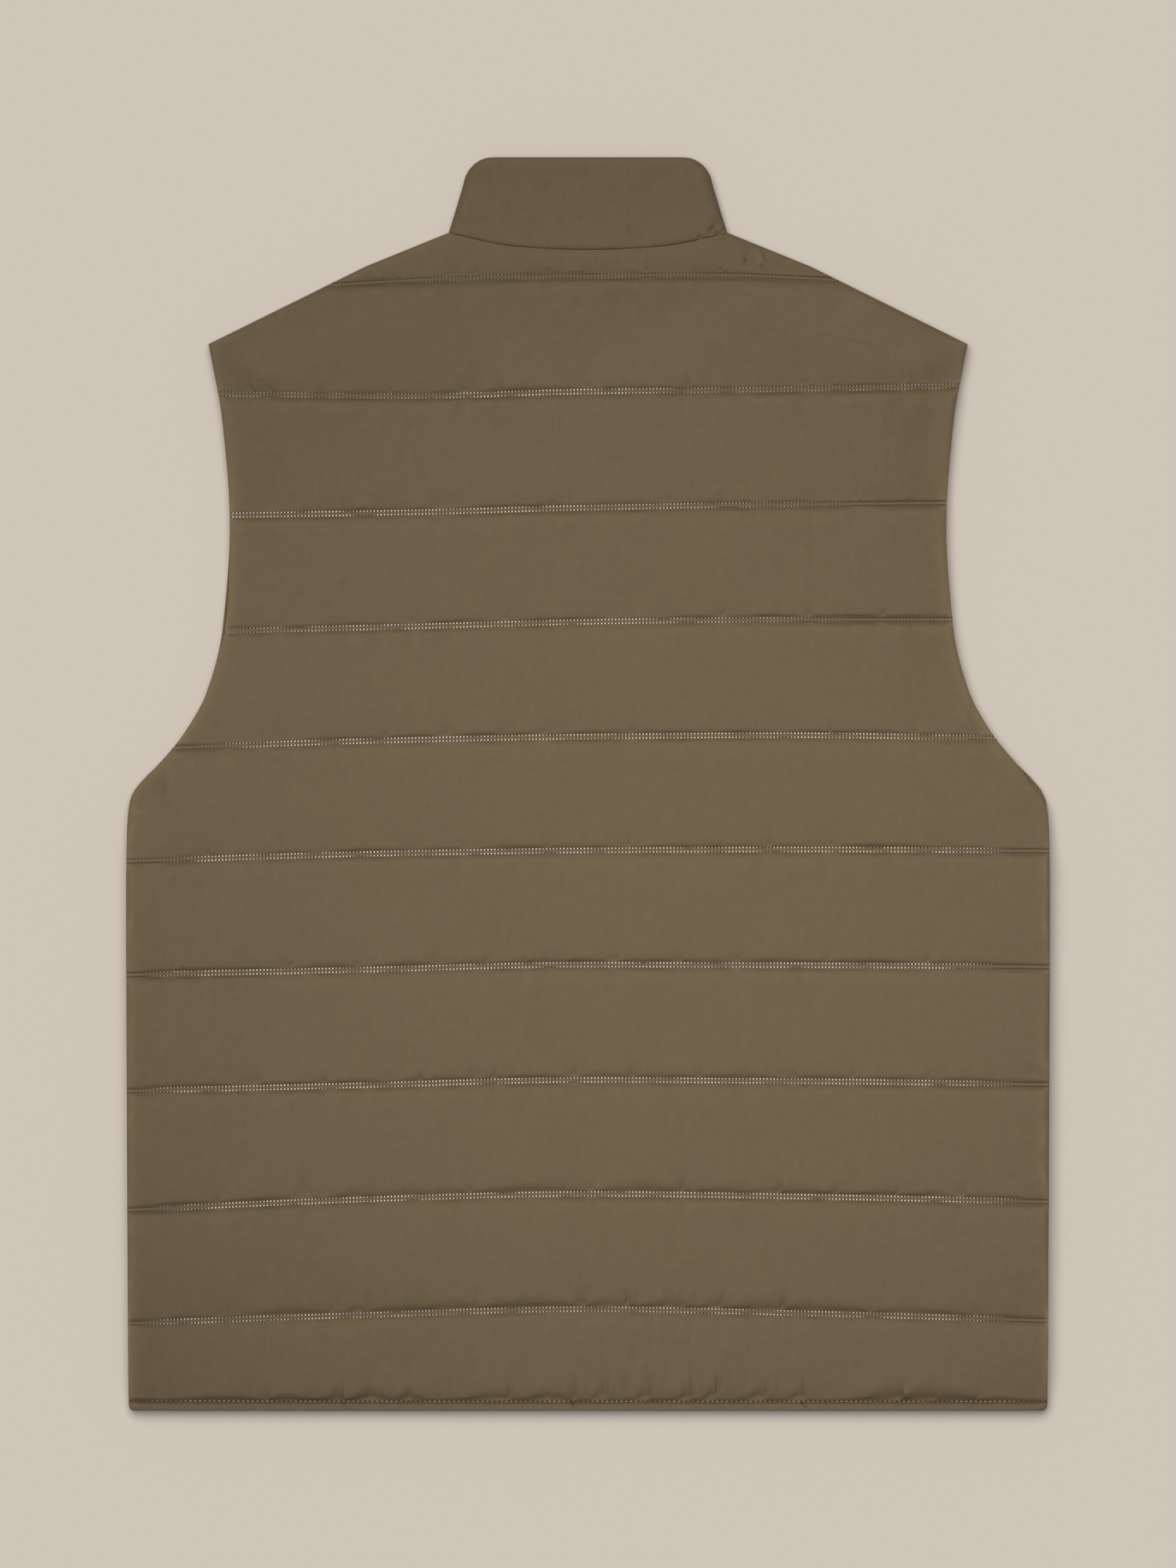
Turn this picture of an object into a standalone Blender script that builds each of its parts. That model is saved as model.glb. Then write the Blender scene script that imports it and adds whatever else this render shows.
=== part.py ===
"""A puffer vest laid flat on its front, with its back panel up.

Metres, +Z up. The origin lies on the surface under the middle of the vest, +Y runs from the hem to
the collar and +X to the wearer's right. The tables and sizes below are in millimetres, heights count
from the hem, and every point is scaled and moved into the frame where a mesh is made.

The two padded fronts lie face down on the surface, the padded back lies on them, and the stand-up
collar is one padded band, flattened with them. The closed front zip lies between the fronts.
"""

import math
from collections import namedtuple

import bmesh
import bpy
import numpy as np

MM = 0.001
COLLECTION_NAME = "puffer_vest"

# Gaps
SEAM = 0.3  # between two pieces sewn together
LAYER_GAP = 0.5  # between the fronts and the back that lies on them
LAYER_GAP_RAMP = 9.0  # from the seam's gap to the layers' gap

# Overall sizes
LENGTH = 775.0  # from the hem to the top edge of the collar
NECK_POINT = (728.3, 86.3)  # height and half width where shoulder, neck seam and collar meet

# Padded walls
STITCH_THICKNESS = 2.6  # wall where a row of quilting presses the padding flat
EDGE_THICKNESS = 1.6  # wall at a seam or a turned edge
BACK_LOFT = 8.8  # rise of a padded channel of the back above its stitching
EDGE_ROUND = 9.0  # distance over which a channel rounds down to an edge
HEM_ROUND = 3.0
FRONT_GROOVE = 4.0  # depth of a stitched channel in the fronts' outer face

# The level at which fronts and back meet, above the surface
LEVEL_INSIDE = 10.3
LEVEL_HEM = 3.4
LEVEL_SHOULDER = 5.0  # at the armholes and shoulders
LEVEL_NECK_RISE = 2.3  # more than that at the middle of the neck, over the zip
LEVEL_NECK_HALF = 90.0
LEVEL_RAMP = 45.0  # distance from an edge over which the level rises
LEVEL_HEM_RAMP = 30.0

# Front edges and zip
FRONT_EDGE_X = 7.5  # half of the slot between the two front edges
FRONT_EDGE_THICKNESS = 2.5
TAPE_RECESS = 1.75  # how far the fronts' inside drops where a tape is sewn on
TAPE_RECESS_END = 18.0
FULL_WALL_X = 24.0  # from here outwards the fronts have their full wall
TAPE_INNER_X = 3.3
TAPE_OUTER_X = 14.5
TAPE_BOTTOM = -1.45  # from the meeting level
TAPE_TOP = -0.85
CHAIN_HALF_WIDTH = 3.0
CHAIN_BOTTOM = -3.0
CHAIN_TOP = -0.8
ZIP_START = 4.0
BOX_LENGTH = 8.5
BOX_HALF_WIDTH = 3.0
ZIP_END_MARGIN = 2.5  # the tapes end this far below the collar's front edge

# Slider and pull tab
SLIDER_HEIGHT = 729.0
SLIDER_LENGTH = 11.0
SLIDER_WIDTH = 8.4
SLIDER_LOWER_PLATE = 0.8
SLIDER_UPPER_PLATE = 0.7
SLIDER_POST = 3.0
SLIDER_POST_OFFSET = 3.2
CHAIN_END_IN_SLIDER = 0.8  # the closed chain ends this far past the slider's middle
BRIDGE_WIDTH = 2.2
BRIDGE_HALF_LENGTH = 3.8
BRIDGE_LEG = 1.0
BRIDGE_BAR = 0.7
BRIDGE_LOW = 0.4  # above the surface
PULL_AXIS_Z = 2.15
PULL_BAR_RADIUS = 0.65
PULL_BAR_SIDES = 16
PULL_THICKNESS = 1.1
PULL_WIDTH = 7.0
PULL_LENGTH = 24.0
PULL_WINDOW_WIDTH = 3.6
PULL_WINDOW_LENGTH = 6.2
PULL_WINDOW_START = 0.4  # from the bar's axis, so that the bar closes the window
PULL_EYE_RADIUS = 1.6
PULL_EYE_MARGIN = 4.2
PULL_SIDES = 24
JOIN_DEPTH = 0.2  # how far pieces that become one reach into each other
JOIN_INSET = 0.05  # keeps their faces from lying in one plane
CUT_MARGIN = 2.0  # how far a cutter reaches past what it cuts

# Collar
COLLAR_FRONT_TOP = 740.0  # height of the front top edge at the zip
COLLAR_FRONT_TOP_POWER = 2.5
FRONT_NECK_HEIGHT = 665.0  # height of the front neck seam at the zip
FRONT_NECK_POWER = 2.2
COLLAR_BACK_WALL = 5.6
COLLAR_SEAM_WALL = 3.0  # wall at the neck seam
COLLAR_TOP_WALL = 2.4  # wall at the top edge
COLLAR_FOLD = 6.5  # width of the fold at each side
COLLAR_CORNER_RADIUS = 14.5
COLLAR_SEAM_ROUND = 6.0
COLLAR_TOP_ROUND = 5.0
COLLAR_FOLD_SLIT = 0.4

# Half width of the whole outline. It runs up the side, round the underarm and up the armhole.
OutlineStation = namedtuple("OutlineStation", "height half_width")
ARMHOLE_OUTLINE = (
    OutlineStation(0.0, 281.6),
    OutlineStation(1.0, 283.2),
    OutlineStation(4.0, 284.0),
    OutlineStation(80.0, 284.5),
    OutlineStation(200.0, 285.1),
    OutlineStation(320.0, 285.5),
    OutlineStation(356.0, 285.1),
    OutlineStation(370.0, 284.3),
    OutlineStation(378.0, 283.0),
    OutlineStation(384.0, 280.2),
    OutlineStation(391.0, 274.3),
    OutlineStation(401.0, 264.3),
    OutlineStation(420.0, 249.0),
    OutlineStation(445.0, 235.4),
    OutlineStation(484.0, 225.9),
    OutlineStation(548.0, 221.5),
    OutlineStation(610.0, 225.9),
    OutlineStation(659.5, 234.6),
)
SHOULDER_OUTLINE = (
    OutlineStation(659.5, 234.6),
    OutlineStation(707.4, 137.7),
    OutlineStation(*NECK_POINT),
)
# Half width of the flattened collar, from its seam to where its top corner starts.
COLLAR_OUTLINE = (
    OutlineStation(728.3, 86.3),
    OutlineStation(734.6, 84.3),
    OutlineStation(750.0, 79.6),
    OutlineStation(760.5, 76.6),
    OutlineStation(775.0, 74.0),
)

# Where the back's edge lies back from the front's, so that the front peeks out beside it.
PEEK_REACH = 14.0  # the back is pulled in over this distance from its edge
Peek = namedtuple("Peek", "side height half_length depth")
PEEKS = (
    Peek(-1, 495.0, 46.0, 1.8),  # along the left armhole
    Peek(1, 385.5, 15.0, 3.4),  # under the right arm
)

# Courses across the vest, from the hem up: heights at the left edge, the quarters, and the right.
Course = namedtuple("Course", "name stitched left quarter middle three_quarter right")
COURSES = (
    Course("hem_edge", False, 0.0, 0.0, 0.0, 0.0, 0.0),
    Course("hem_stitch", True, 6.2, 5.9, 5.8, 5.8, 5.8),
    Course("quilting_1", True, 54.3, 59.3, 62.9, 60.1, 56.5),
    Course("quilting_2", True, 124.8, 130.9, 134.2, 132.6, 130.0),
    Course("quilting_3", True, 198.0, 201.4, 204.6, 203.8, 201.9),
    Course("quilting_4", True, 270.1, 273.1, 275.9, 275.7, 274.8),
    Course("quilting_5", True, 340.0, 344.2, 346.6, 347.2, 346.3),
    Course("underarm_low", False, 370.0, 372.0, 373.0, 373.0, 370.0),
    Course("underarm_high", False, 384.0, 387.0, 388.0, 388.0, 384.0),
    Course("quilting_6", True, 410.7, 414.6, 417.0, 417.9, 416.1),
    Course("quilting_7", True, 482.6, 485.0, 487.7, 489.0, 489.2),
    Course("quilting_8", True, 554.0, 555.7, 558.5, 560.5, 561.7),
    Course("quilting_9", True, 629.0, 627.6, 630.1, 631.5, 633.5),
    Course("shoulder_tips", False, 659.5, 661.0, 662.2, 661.8, 659.5),
    Course("quilting_10", True, 696.1, 700.3, 702.0, 702.6, 699.4),
    Course("neck_seam", True, 728.0, 719.6, 717.6, 719.6, 728.0),
)
ACROSS = np.array([-1.0, -0.5, 0.0, 0.5, 1.0])  # where a course's five heights are taken

# Mesh spacing
ROW_STEPS = (2.4, 7.5, 18.0)  # rows at these distances from a line of stitching
ROUND_STEPS = (0.0, 0.8, 3.2, 9.0)  # columns at these distances from an outer edge
INNER_SHARES = (0.04, 0.11, 0.36, 0.68, 1.0)  # and on to the full wall
FRONT_EDGE_COLUMNS = (7.5, 8.3, 10.5, 13.5, 18.0, 24.0)
FOLD_ANGLES = (-67.5, -45.0, -22.5, 0.0, 22.5, 45.0, 67.5)
COLLAR_WALL_COLUMNS = 6
COLLAR_ROWS = (0.0, 0.03, 0.12, 0.3, 0.5, 0.68)  # shares of the collar's height below its corners
CORNER_ANGLES = (0.0, 20.0, 40.0, 60.0, 75.0, 90.0)

# Padding profile across a channel
PUFF_POWER = 2.6
PUFF_SHARPNESS = 0.75
FLAT_SHARE = 0.8  # a channel that rests on the surface is flat where it would rise past this

# Colours, linear
CLOTH_COLOUR = (0.162, 0.121, 0.070, 1.0)
TAPE_COLOUR = (0.110, 0.083, 0.050, 1.0)
METAL_COLOUR = (0.105, 0.085, 0.060, 1.0)


# ---- numbers -------------------------------------------------------------------------------------


def level_slopes(stations, values):
    """Slopes at the stations that keep a curve through them from swinging past their values."""
    steps = np.diff(values) / np.diff(stations)
    before, after = steps[:-1], steps[1:]
    same_way = before * after > 0
    both = np.where(same_way, before + after, 1.0)
    middle = np.where(same_way, 2 * before * after / both, 0.0)
    return np.concatenate([steps[:1], middle, steps[-1:]])


def smooth_through(stations, values, at):
    """A smooth curve through (stations, values), read at the given places."""
    stations = np.asarray(stations, float)
    values = np.asarray(values, float)
    at = np.clip(np.asarray(at, float), stations[0], stations[-1])
    slopes = level_slopes(stations, values)
    index = np.clip(np.searchsorted(stations, at, side="right") - 1, 0, len(stations) - 2)
    step = stations[index + 1] - stations[index]
    t = (at - stations[index]) / step
    start = (1 + 2 * t) * (1 - t) ** 2 * values[index] + t * (1 - t) ** 2 * step * slopes[index]
    end = t**2 * (3 - 2 * t) * values[index + 1] - t**2 * (1 - t) * step * slopes[index + 1]
    return start + end


def quarter_round(distance, radius):
    """Rises from 0 at an edge to 1 at the radius, as a quarter of an ellipse."""
    left = 1 - np.clip(distance / radius, 0, 1)
    return np.sqrt(1 - left**2)


def fade(distance, ramp):
    """Falls smoothly from 1 at distance 0 to 0 at the ramp's end."""
    return np.cos(np.clip(distance / ramp, 0, 1) * math.pi / 2) ** 2


# ---- outline and seams ---------------------------------------------------------------------------


def half_width(height):
    """Half of the flat vest's width, without its collar, at a height above the hem."""
    armhole = smooth_through(*zip(*ARMHOLE_OUTLINE), height)
    shoulder = np.interp(height, *zip(*SHOULDER_OUTLINE))
    return np.where(height <= SHOULDER_OUTLINE[0].height, armhole, shoulder)


def slant(height):
    """Distance across the vest for each unit of distance from its edge."""
    rise = 0.5
    slope = (half_width(height + rise) - half_width(height - rise)) / (2 * rise)
    return math.sqrt(1 + float(slope) ** 2)


def peek(side, height):
    """How far the back's edge lies inside the front's."""
    depth = 0.0
    for row in PEEKS:
        if row.side == side:
            depth += row.depth * fade(abs(height - row.height), row.half_length)
    return float(depth)


def course_height(course, across):
    return smooth_through(ACROSS, course[2:], across)


def back_neck(x):
    """Height of the back neck seam."""
    return course_height(COURSES[-1], np.abs(x) / float(half_width(COURSES[-1].right)))


def front_neck(x):
    """Height of the front neck seam, which dips towards the zip."""
    share = np.clip(np.abs(x) / NECK_POINT[1], 0, 1)
    return FRONT_NECK_HEIGHT + (NECK_POINT[0] - FRONT_NECK_HEIGHT) * share**FRONT_NECK_POWER


def collar_front_top(x):
    """Height of the collar's front top edge, which dips with the seam below it."""
    share = np.clip(np.abs(x) / NECK_POINT[1], 0, 1)
    return COLLAR_FRONT_TOP + (LENGTH - COLLAR_FRONT_TOP) * share**COLLAR_FRONT_TOP_POWER


def front_top_outline():
    """The right front's edge from the underarm over the shoulder to the middle of the neck seam."""
    sides = [(float(half_width(h)), h) for h in np.arange(376.0, 728.0, 8.0)]
    neck = [(x, float(front_neck(x))) for x in np.arange(NECK_POINT[1], 0.0, -4.0)]
    return np.array(sides + neck + [(0.0, FRONT_NECK_HEIGHT)])


TOP_OUTLINE = front_top_outline()


def distance_to_top(x, height):
    """Distance from a front's armhole, shoulder and neck edges, 0 beyond the neck seam."""
    point = np.stack([np.abs(x), height], axis=-1)[..., None, :]
    start = TOP_OUTLINE[:-1]
    along = TOP_OUTLINE[1:] - start
    share = np.clip(np.sum((point - start) * along, -1) / np.sum(along**2, -1), 0, 1)
    nearest = start + share[..., None] * along
    distance = np.min(np.linalg.norm(point - nearest, axis=-1), axis=-1)
    beyond = (np.abs(x) < NECK_POINT[1]) & (height > front_neck(x))
    return np.where(beyond, 0.0, distance)


def meeting_level(x, height):
    """The height above the surface at which the fronts end and the back lies on them."""
    x = np.asarray(x, float)
    height = np.asarray(height, float)
    rise = LEVEL_NECK_RISE * np.clip(1 - (x / LEVEL_NECK_HALF) ** 2, 0, 1)
    top = (LEVEL_INSIDE - LEVEL_SHOULDER - rise) * fade(distance_to_top(x, height), LEVEL_RAMP)
    hem = (LEVEL_INSIDE - LEVEL_HEM) * fade(height, LEVEL_HEM_RAMP)
    return LEVEL_INSIDE - top - hem


def recess(x):
    """How far the fronts' inside drops beside the zip, to take its tapes."""
    return TAPE_RECESS * np.interp(np.abs(x), [TAPE_RECESS_END, FULL_WALL_X], [1.0, 0.0])


# ---- meshes --------------------------------------------------------------------------------------


def material(name, colour, roughness, metallic=0.0):
    found = bpy.data.materials.new(name)
    found.use_nodes = True
    shader = found.node_tree.nodes["Principled BSDF"]
    shader.inputs["Base Color"].default_value = colour
    shader.inputs["Roughness"].default_value = roughness
    shader.inputs["Metallic"].default_value = metallic
    return found


def add_object(name, mesh, finish, collection):
    made = bpy.data.objects.new(name, mesh)
    made.data.materials.append(finish)
    collection.objects.link(made)
    return made


def place(points):
    """Millimetres from the hem's middle become metres in the vest's own frame."""
    return (np.asarray(points, float) - np.array([0.0, LENGTH / 2, 0.0])) * MM


def wall_mesh(name, outer, inner):
    """A closed wall between two grids of points with the same rows and columns.

    outer and inner are arrays of rows x columns x 3, with outer's normals out of the wall.
    """
    rows, columns = outer.shape[:2]
    size = rows * columns
    points = place(np.concatenate([outer.reshape(-1, 3), inner.reshape(-1, 3)]))

    def corner(row, column, side):
        return side * size + row * columns + column

    faces = []
    for row in range(rows - 1):
        for column in range(columns - 1):
            quad = [(row, column), (row, column + 1), (row + 1, column + 1), (row + 1, column)]
            # Both halves of the vest, and layers that lie on each other, are cut the same way.
            outwards = abs(outer[row, column, 0]) < abs(outer[row, column + 1, 0])
            cut = (0, 1, 2), (0, 2, 3)
            if not outwards:
                cut = (0, 1, 3), (1, 2, 3)
            for triangle in cut:
                corners = [quad[index] for index in triangle]
                faces.append([corner(r, c, 0) for r, c in corners])
                faces.append([corner(r, c, 1) for r, c in reversed(corners)])
    rim = [(0, c) for c in range(columns)]
    rim += [(r, columns - 1) for r in range(1, rows)]
    rim += [(rows - 1, c) for c in range(columns - 2, -1, -1)]
    rim += [(r, 0) for r in range(rows - 2, 0, -1)]
    for first, second in zip(rim, rim[1:] + rim[:1]):
        faces.append([corner(*second, 0), corner(*first, 0), corner(*first, 1), corner(*second, 1)])
    mesh = bpy.data.meshes.new(name)
    mesh.from_pydata(points.tolist(), [], faces)
    shaper = bmesh.new()
    shaper.from_mesh(mesh)
    bmesh.ops.recalc_face_normals(shaper, faces=shaper.faces)
    shaper.to_mesh(mesh)
    shaper.free()
    mesh.shade_smooth()
    mesh.set_sharp_from_angle(angle=math.radians(40))
    return mesh


# ---- panels --------------------------------------------------------------------------------------


Row = namedtuple("Row", "lower upper share stitch_below stitch_above")


def stitched_before(index):
    return next((c for c in reversed(COURSES[: index + 1]) if c.stitched), None)


def stitched_after(index):
    return next((c for c in COURSES[index:] if c.stitched), None)


def panel_rows():
    """The mesh rows of a panel, close together beside each line of stitching."""
    rows = []
    for index, (lower, upper) in enumerate(zip(COURSES, COURSES[1:])):
        span = float(np.mean(np.subtract(upper[2:], lower[2:])))
        shares = [] if lower.stitched else [0.0]
        if lower.stitched:
            shares += [step / span for step in ROW_STEPS if step < 0.48 * span]
        if lower.stitched and upper.stitched and span > 2.2 * ROW_STEPS[-1]:
            shares.append(0.5)
        if upper.stitched:
            shares += [1 - step / span for step in reversed(ROW_STEPS) if step < 0.48 * span]
        if upper is COURSES[-1]:
            shares.append(1.0)
        for share in shares:
            rows.append(
                Row(lower, upper, share, stitched_before(index), stitched_after(index + 1))
            )
    return rows


def row_height(row, across):
    low = course_height(row.lower, across)
    return low + row.share * (course_height(row.upper, across) - low)


def padding(row, across, height):
    """The padding's rise at a point: 0 on stitching, 1 in the middle of a channel."""
    if row.stitch_below is None:
        return np.zeros_like(height)
    low = course_height(row.stitch_below, across) + ROW_STEPS[0]
    high = course_height(row.stitch_above, across) - ROW_STEPS[0]
    share = np.clip((height - low) / (high - low), 0, 1)
    return (1 - np.abs(1 - 2 * share) ** PUFF_POWER) ** PUFF_SHARPNESS


def side_columns(edge_x, edge_slant):
    """Columns from the outer edge of a panel to where its full wall starts beside the zip."""
    rounding = [edge_x - step * edge_slant for step in ROUND_STEPS]
    room = rounding[-1] - FULL_WALL_X
    return rounding + [rounding[-1] - share * room for share in INNER_SHARES]


def edge_distances(columns, edge_x, edge_slant):
    return (edge_x - np.asarray(columns)) / edge_slant


def back_grids():
    """The back panel: a plain inside on the fronts, and an outer face raised in channels."""
    outer = []
    inner = []
    for row in panel_rows():
        ends = [float(row_height(row, side)) for side in (-1, 1)]
        edges = [float(half_width(h)) for h in ends]
        slants = [slant(h) for h in ends]
        left = [-x for x in side_columns(edges[0], slants[0])]
        right = side_columns(edges[1], slants[1])
        x = np.array(left + [0.0] + right[::-1])
        across = 2 * (x + edges[0]) / (edges[0] + edges[1]) - 1
        height = row_height(row, across)
        distances = [(x + edges[0]) / slants[0], (edges[1] - x) / slants[1]]
        distance = np.minimum(*distances)
        for side, end, edge_slant, away in zip((-1, 1), ends, slants, distances):
            x = x - side * peek(side, end) * edge_slant * np.clip(1 - away / PEEK_REACH, 0, 1)
        rounded = quarter_round(distance, EDGE_ROUND)
        if row.lower is COURSES[0]:
            rounded = np.minimum(rounded, quarter_round(height, HEM_ROUND))
        gap = SEAM + (LAYER_GAP - SEAM) * np.clip(distance / LAYER_GAP_RAMP, 0, 1)
        bottom = meeting_level(x, height) + gap
        full = STITCH_THICKNESS + BACK_LOFT * padding(row, across, height)
        wall = EDGE_THICKNESS + (full - EDGE_THICKNESS) * rounded
        outer.append(np.stack([x, height, bottom + wall], -1))
        inner.append(np.stack([x, height, bottom], -1))
    return np.array(outer), np.array(inner)


def front_grids(side):
    """A front, face down: channels that rest flat below, a plain inside above."""
    outer = []
    inner = []
    for row in panel_rows():
        ends = [float(row_height(row, s)) for s in (-1, 1)]
        edges = [float(half_width(h)) for h in ends]
        own = 0 if side < 0 else 1
        edge_slant = slant(ends[own])
        outwards = side_columns(edges[own], edge_slant)[::-1]
        x = np.array(list(FRONT_EDGE_COLUMNS[:-1]) + outwards)
        across = np.clip(2 * (side * x + edges[0]) / (edges[0] + edges[1]) - 1, -1, 1)
        height = row_height(row, across)
        level = meeting_level(x, height)
        inside = level - recess(x)
        side_round = quarter_round(edge_distances(x, edges[own], edge_slant), EDGE_ROUND)
        if row.lower is COURSES[0]:
            side_round = np.minimum(side_round, quarter_round(height, HEM_ROUND))
        front_round = quarter_round(x - FRONT_EDGE_X, EDGE_ROUND)
        flat = np.minimum(padding(row, across, height) / FLAT_SHARE, 1)
        stitched = np.minimum(np.maximum(inside - FRONT_GROOVE, STITCH_THICKNESS), inside)
        full = stitched + (inside - stitched) * flat
        wall = EDGE_THICKNESS + (full - EDGE_THICKNESS) * side_round
        edge_wall = np.minimum(FRONT_EDGE_THICKNESS, inside)
        wall = np.minimum(wall, edge_wall + (inside - edge_wall) * front_round)
        outer.append(np.stack([side * x, height, inside - wall], -1))
        inner.append(np.stack([side * x, height, inside], -1))
    return np.array(outer), np.array(inner)


# ---- collar --------------------------------------------------------------------------------------


def collar_half_columns(half):
    """x of the collar's right half, from the zip round the side fold to the middle of the back.

    Returns the x of each column, and its angle round the fold: -90 on the front, 90 on the back.
    """
    fold = half - COLLAR_FOLD
    front = list(FRONT_EDGE_COLUMNS)
    front += np.linspace(FULL_WALL_X, fold, COLLAR_WALL_COLUMNS + 1)[1:].tolist()
    turn = [fold + COLLAR_FOLD * math.cos(math.radians(a)) for a in FOLD_ANGLES]
    back = np.linspace(fold, 0.0, COLLAR_WALL_COLUMNS + 1).tolist()
    angles = [-90.0] * len(front) + list(FOLD_ANGLES) + [90.0] * len(back)
    return np.array(front + turn + back), np.array(angles)


def seam_gap(curve, x):
    """The seam's gap measured upwards, where the curve slants."""
    step = 0.5
    slope = (curve(np.abs(x) + step) - curve(np.abs(x) - step)) / (2 * step)
    return SEAM * np.sqrt(1 + slope**2)


def collar_rows():
    """(share of the height, half width) for each row, with the top corners rounded."""
    low = NECK_POINT[0]
    corner = LENGTH - COLLAR_CORNER_RADIUS
    rows = []
    for share in COLLAR_ROWS:
        height = low + share * (LENGTH - low)
        rows.append((share, float(smooth_through(*zip(*COLLAR_OUTLINE), height))))
    for angle in CORNER_ANGLES:
        height = corner + COLLAR_CORNER_RADIUS * math.sin(math.radians(angle))
        straight = float(smooth_through(*zip(*COLLAR_OUTLINE), height))
        half = straight - COLLAR_CORNER_RADIUS * (1 - math.cos(math.radians(angle)))
        rows.append(((height - low) / (LENGTH - low), half))
    return rows


def collar_half_grids():
    """The right half of the collar, from the zip round the side to the middle of the back."""
    seam_x, angles = collar_half_columns(NECK_POINT[1])
    on_front = angles < 0
    seam = np.where(
        on_front,
        front_neck(seam_x) + seam_gap(front_neck, seam_x),
        back_neck(seam_x) + seam_gap(back_neck, seam_x),
    )
    top = np.where(on_front, collar_front_top(seam_x), LENGTH)
    outer = []
    inner = []
    for share, half in collar_rows():
        x, _ = collar_half_columns(half)
        height = seam + share * (top - seam)
        fold = half - COLLAR_FOLD
        level_x = np.minimum(x, fold)
        level = meeting_level(level_x, height)
        inside = level - recess(level_x)
        rounded = np.minimum(
            quarter_round(height - seam, COLLAR_SEAM_ROUND),
            quarter_round(top - height, COLLAR_TOP_ROUND),
        )
        thin = COLLAR_SEAM_WALL if share < 0.5 else COLLAR_TOP_WALL
        edge_wall = np.minimum(FRONT_EDGE_THICKNESS, inside)
        front_wall = thin + (inside - thin) * rounded
        front_round = quarter_round(x - FRONT_EDGE_X, EDGE_ROUND)
        front_wall = np.minimum(front_wall, edge_wall + (inside - edge_wall) * front_round)
        under = inside - front_wall
        over = level + LAYER_GAP + thin + (COLLAR_BACK_WALL - thin) * rounded
        turn = np.sin(np.radians(angles))
        outer_z = (under + over) / 2 + (over - under) / 2 * turn
        inner_z = np.where(
            np.abs(turn) == 1,
            np.where(turn < 0, inside, level + LAYER_GAP),
            level + LAYER_GAP / 2 * (1 + turn),
        )
        inner_x = level_x + np.where(x > fold, COLLAR_FOLD_SLIT * np.cos(np.radians(angles)), 0)
        outer.append(np.stack([x, height, outer_z], -1))
        inner.append(np.stack([inner_x, height, inner_z], -1))
    return np.array(outer), np.array(inner)


def mirrored_band(half):
    """Joins a right half to its mirror image along its last column, at x = 0."""
    other = half[:, -2::-1] * np.array([-1.0, 1.0, 1.0])
    return np.concatenate([half, other], axis=1)


def neck_cutter(collection):
    """A prism over the neck opening. It cuts the fronts back to the collar's seam."""
    seam_x, angles = collar_half_columns(NECK_POINT[1])
    right = [(x, float(front_neck(x))) for x, a in zip(seam_x, angles) if a <= 0]
    above = COLLAR_FRONT_TOP + 40.0
    outline = [(-x, h) for x, h in reversed(right)] + right
    outline += [(NECK_POINT[1], above), (-NECK_POINT[1], above)]
    shaper = bmesh.new()
    low = [shaper.verts.new(place([x, h, -5.0])) for x, h in outline]
    face = shaper.faces.new(low)
    grown = bmesh.ops.extrude_face_region(shaper, geom=[face])["geom"]
    lifted = [v for v in grown if isinstance(v, bmesh.types.BMVert)]
    bmesh.ops.translate(shaper, verts=lifted, vec=(0.0, 0.0, 30.0 * MM))
    bmesh.ops.recalc_face_normals(shaper, faces=shaper.faces)
    mesh = bpy.data.meshes.new("neck_cutter")
    shaper.to_mesh(mesh)
    shaper.free()
    cutter = bpy.data.objects.new("neck_cutter", mesh)
    cutter.hide_render = True
    cutter.display_type = "WIRE"
    collection.objects.link(cutter)
    return cutter


# ---- zip -----------------------------------------------------------------------------------------


def zip_heights():
    """Heights along the zip, taken from the rows of the fronts and the collar beside it."""
    edges = float(half_width(0.0))
    across = (FRONT_EDGE_X + edges) / edges - 1
    front = [float(row_height(row, across)) for row in panel_rows()]
    collar, _ = collar_half_grids()
    end = COLLAR_FRONT_TOP - ZIP_END_MARGIN
    heights = [h for h in front if ZIP_START + 1 < h < FRONT_NECK_HEIGHT - 1]
    heights += [h for h in collar[:, 0, 1] if h < end - 1]
    return np.array([ZIP_START] + heights + [end])


def strip_grids(x_values, heights, bottom, top):
    """A strip along the zip, at a fixed height from the level where the layers meet."""
    x, height = np.meshgrid(x_values, heights)
    level = meeting_level(x, height)
    lower = np.stack([x, height, level + bottom], -1)
    upper = np.stack([x, height, level + top], -1)
    return upper, lower


def block(name, x, y, z):
    """A box between the given pairs of coordinates, in millimetres."""
    bpy.ops.mesh.primitive_cube_add(size=1.0)
    made = bpy.context.active_object
    made.name = name
    low = place([x[0], y[0], z[0]])
    high = place([x[1], y[1], z[1]])
    corners = np.array([vertex.co for vertex in made.data.vertices]) + 0.5
    for vertex, share in zip(made.data.vertices, corners):
        vertex.co = low + share * (high - low)
    return made


def combine(name, pieces, operation="UNION"):
    """Joins or cuts the first piece with the others, and returns it as one plain mesh."""
    base = pieces[0]
    for piece in pieces[1:]:
        step = base.modifiers.new(piece.name, "BOOLEAN")
        step.operation = operation
        step.object = piece
        step.solver = "EXACT"
    bpy.context.view_layer.update()
    graph = bpy.context.evaluated_depsgraph_get()
    mesh = bpy.data.meshes.new_from_object(base.evaluated_get(graph))
    mesh.name = name
    for piece in pieces:
        bpy.data.objects.remove(piece)
    return mesh


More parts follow.
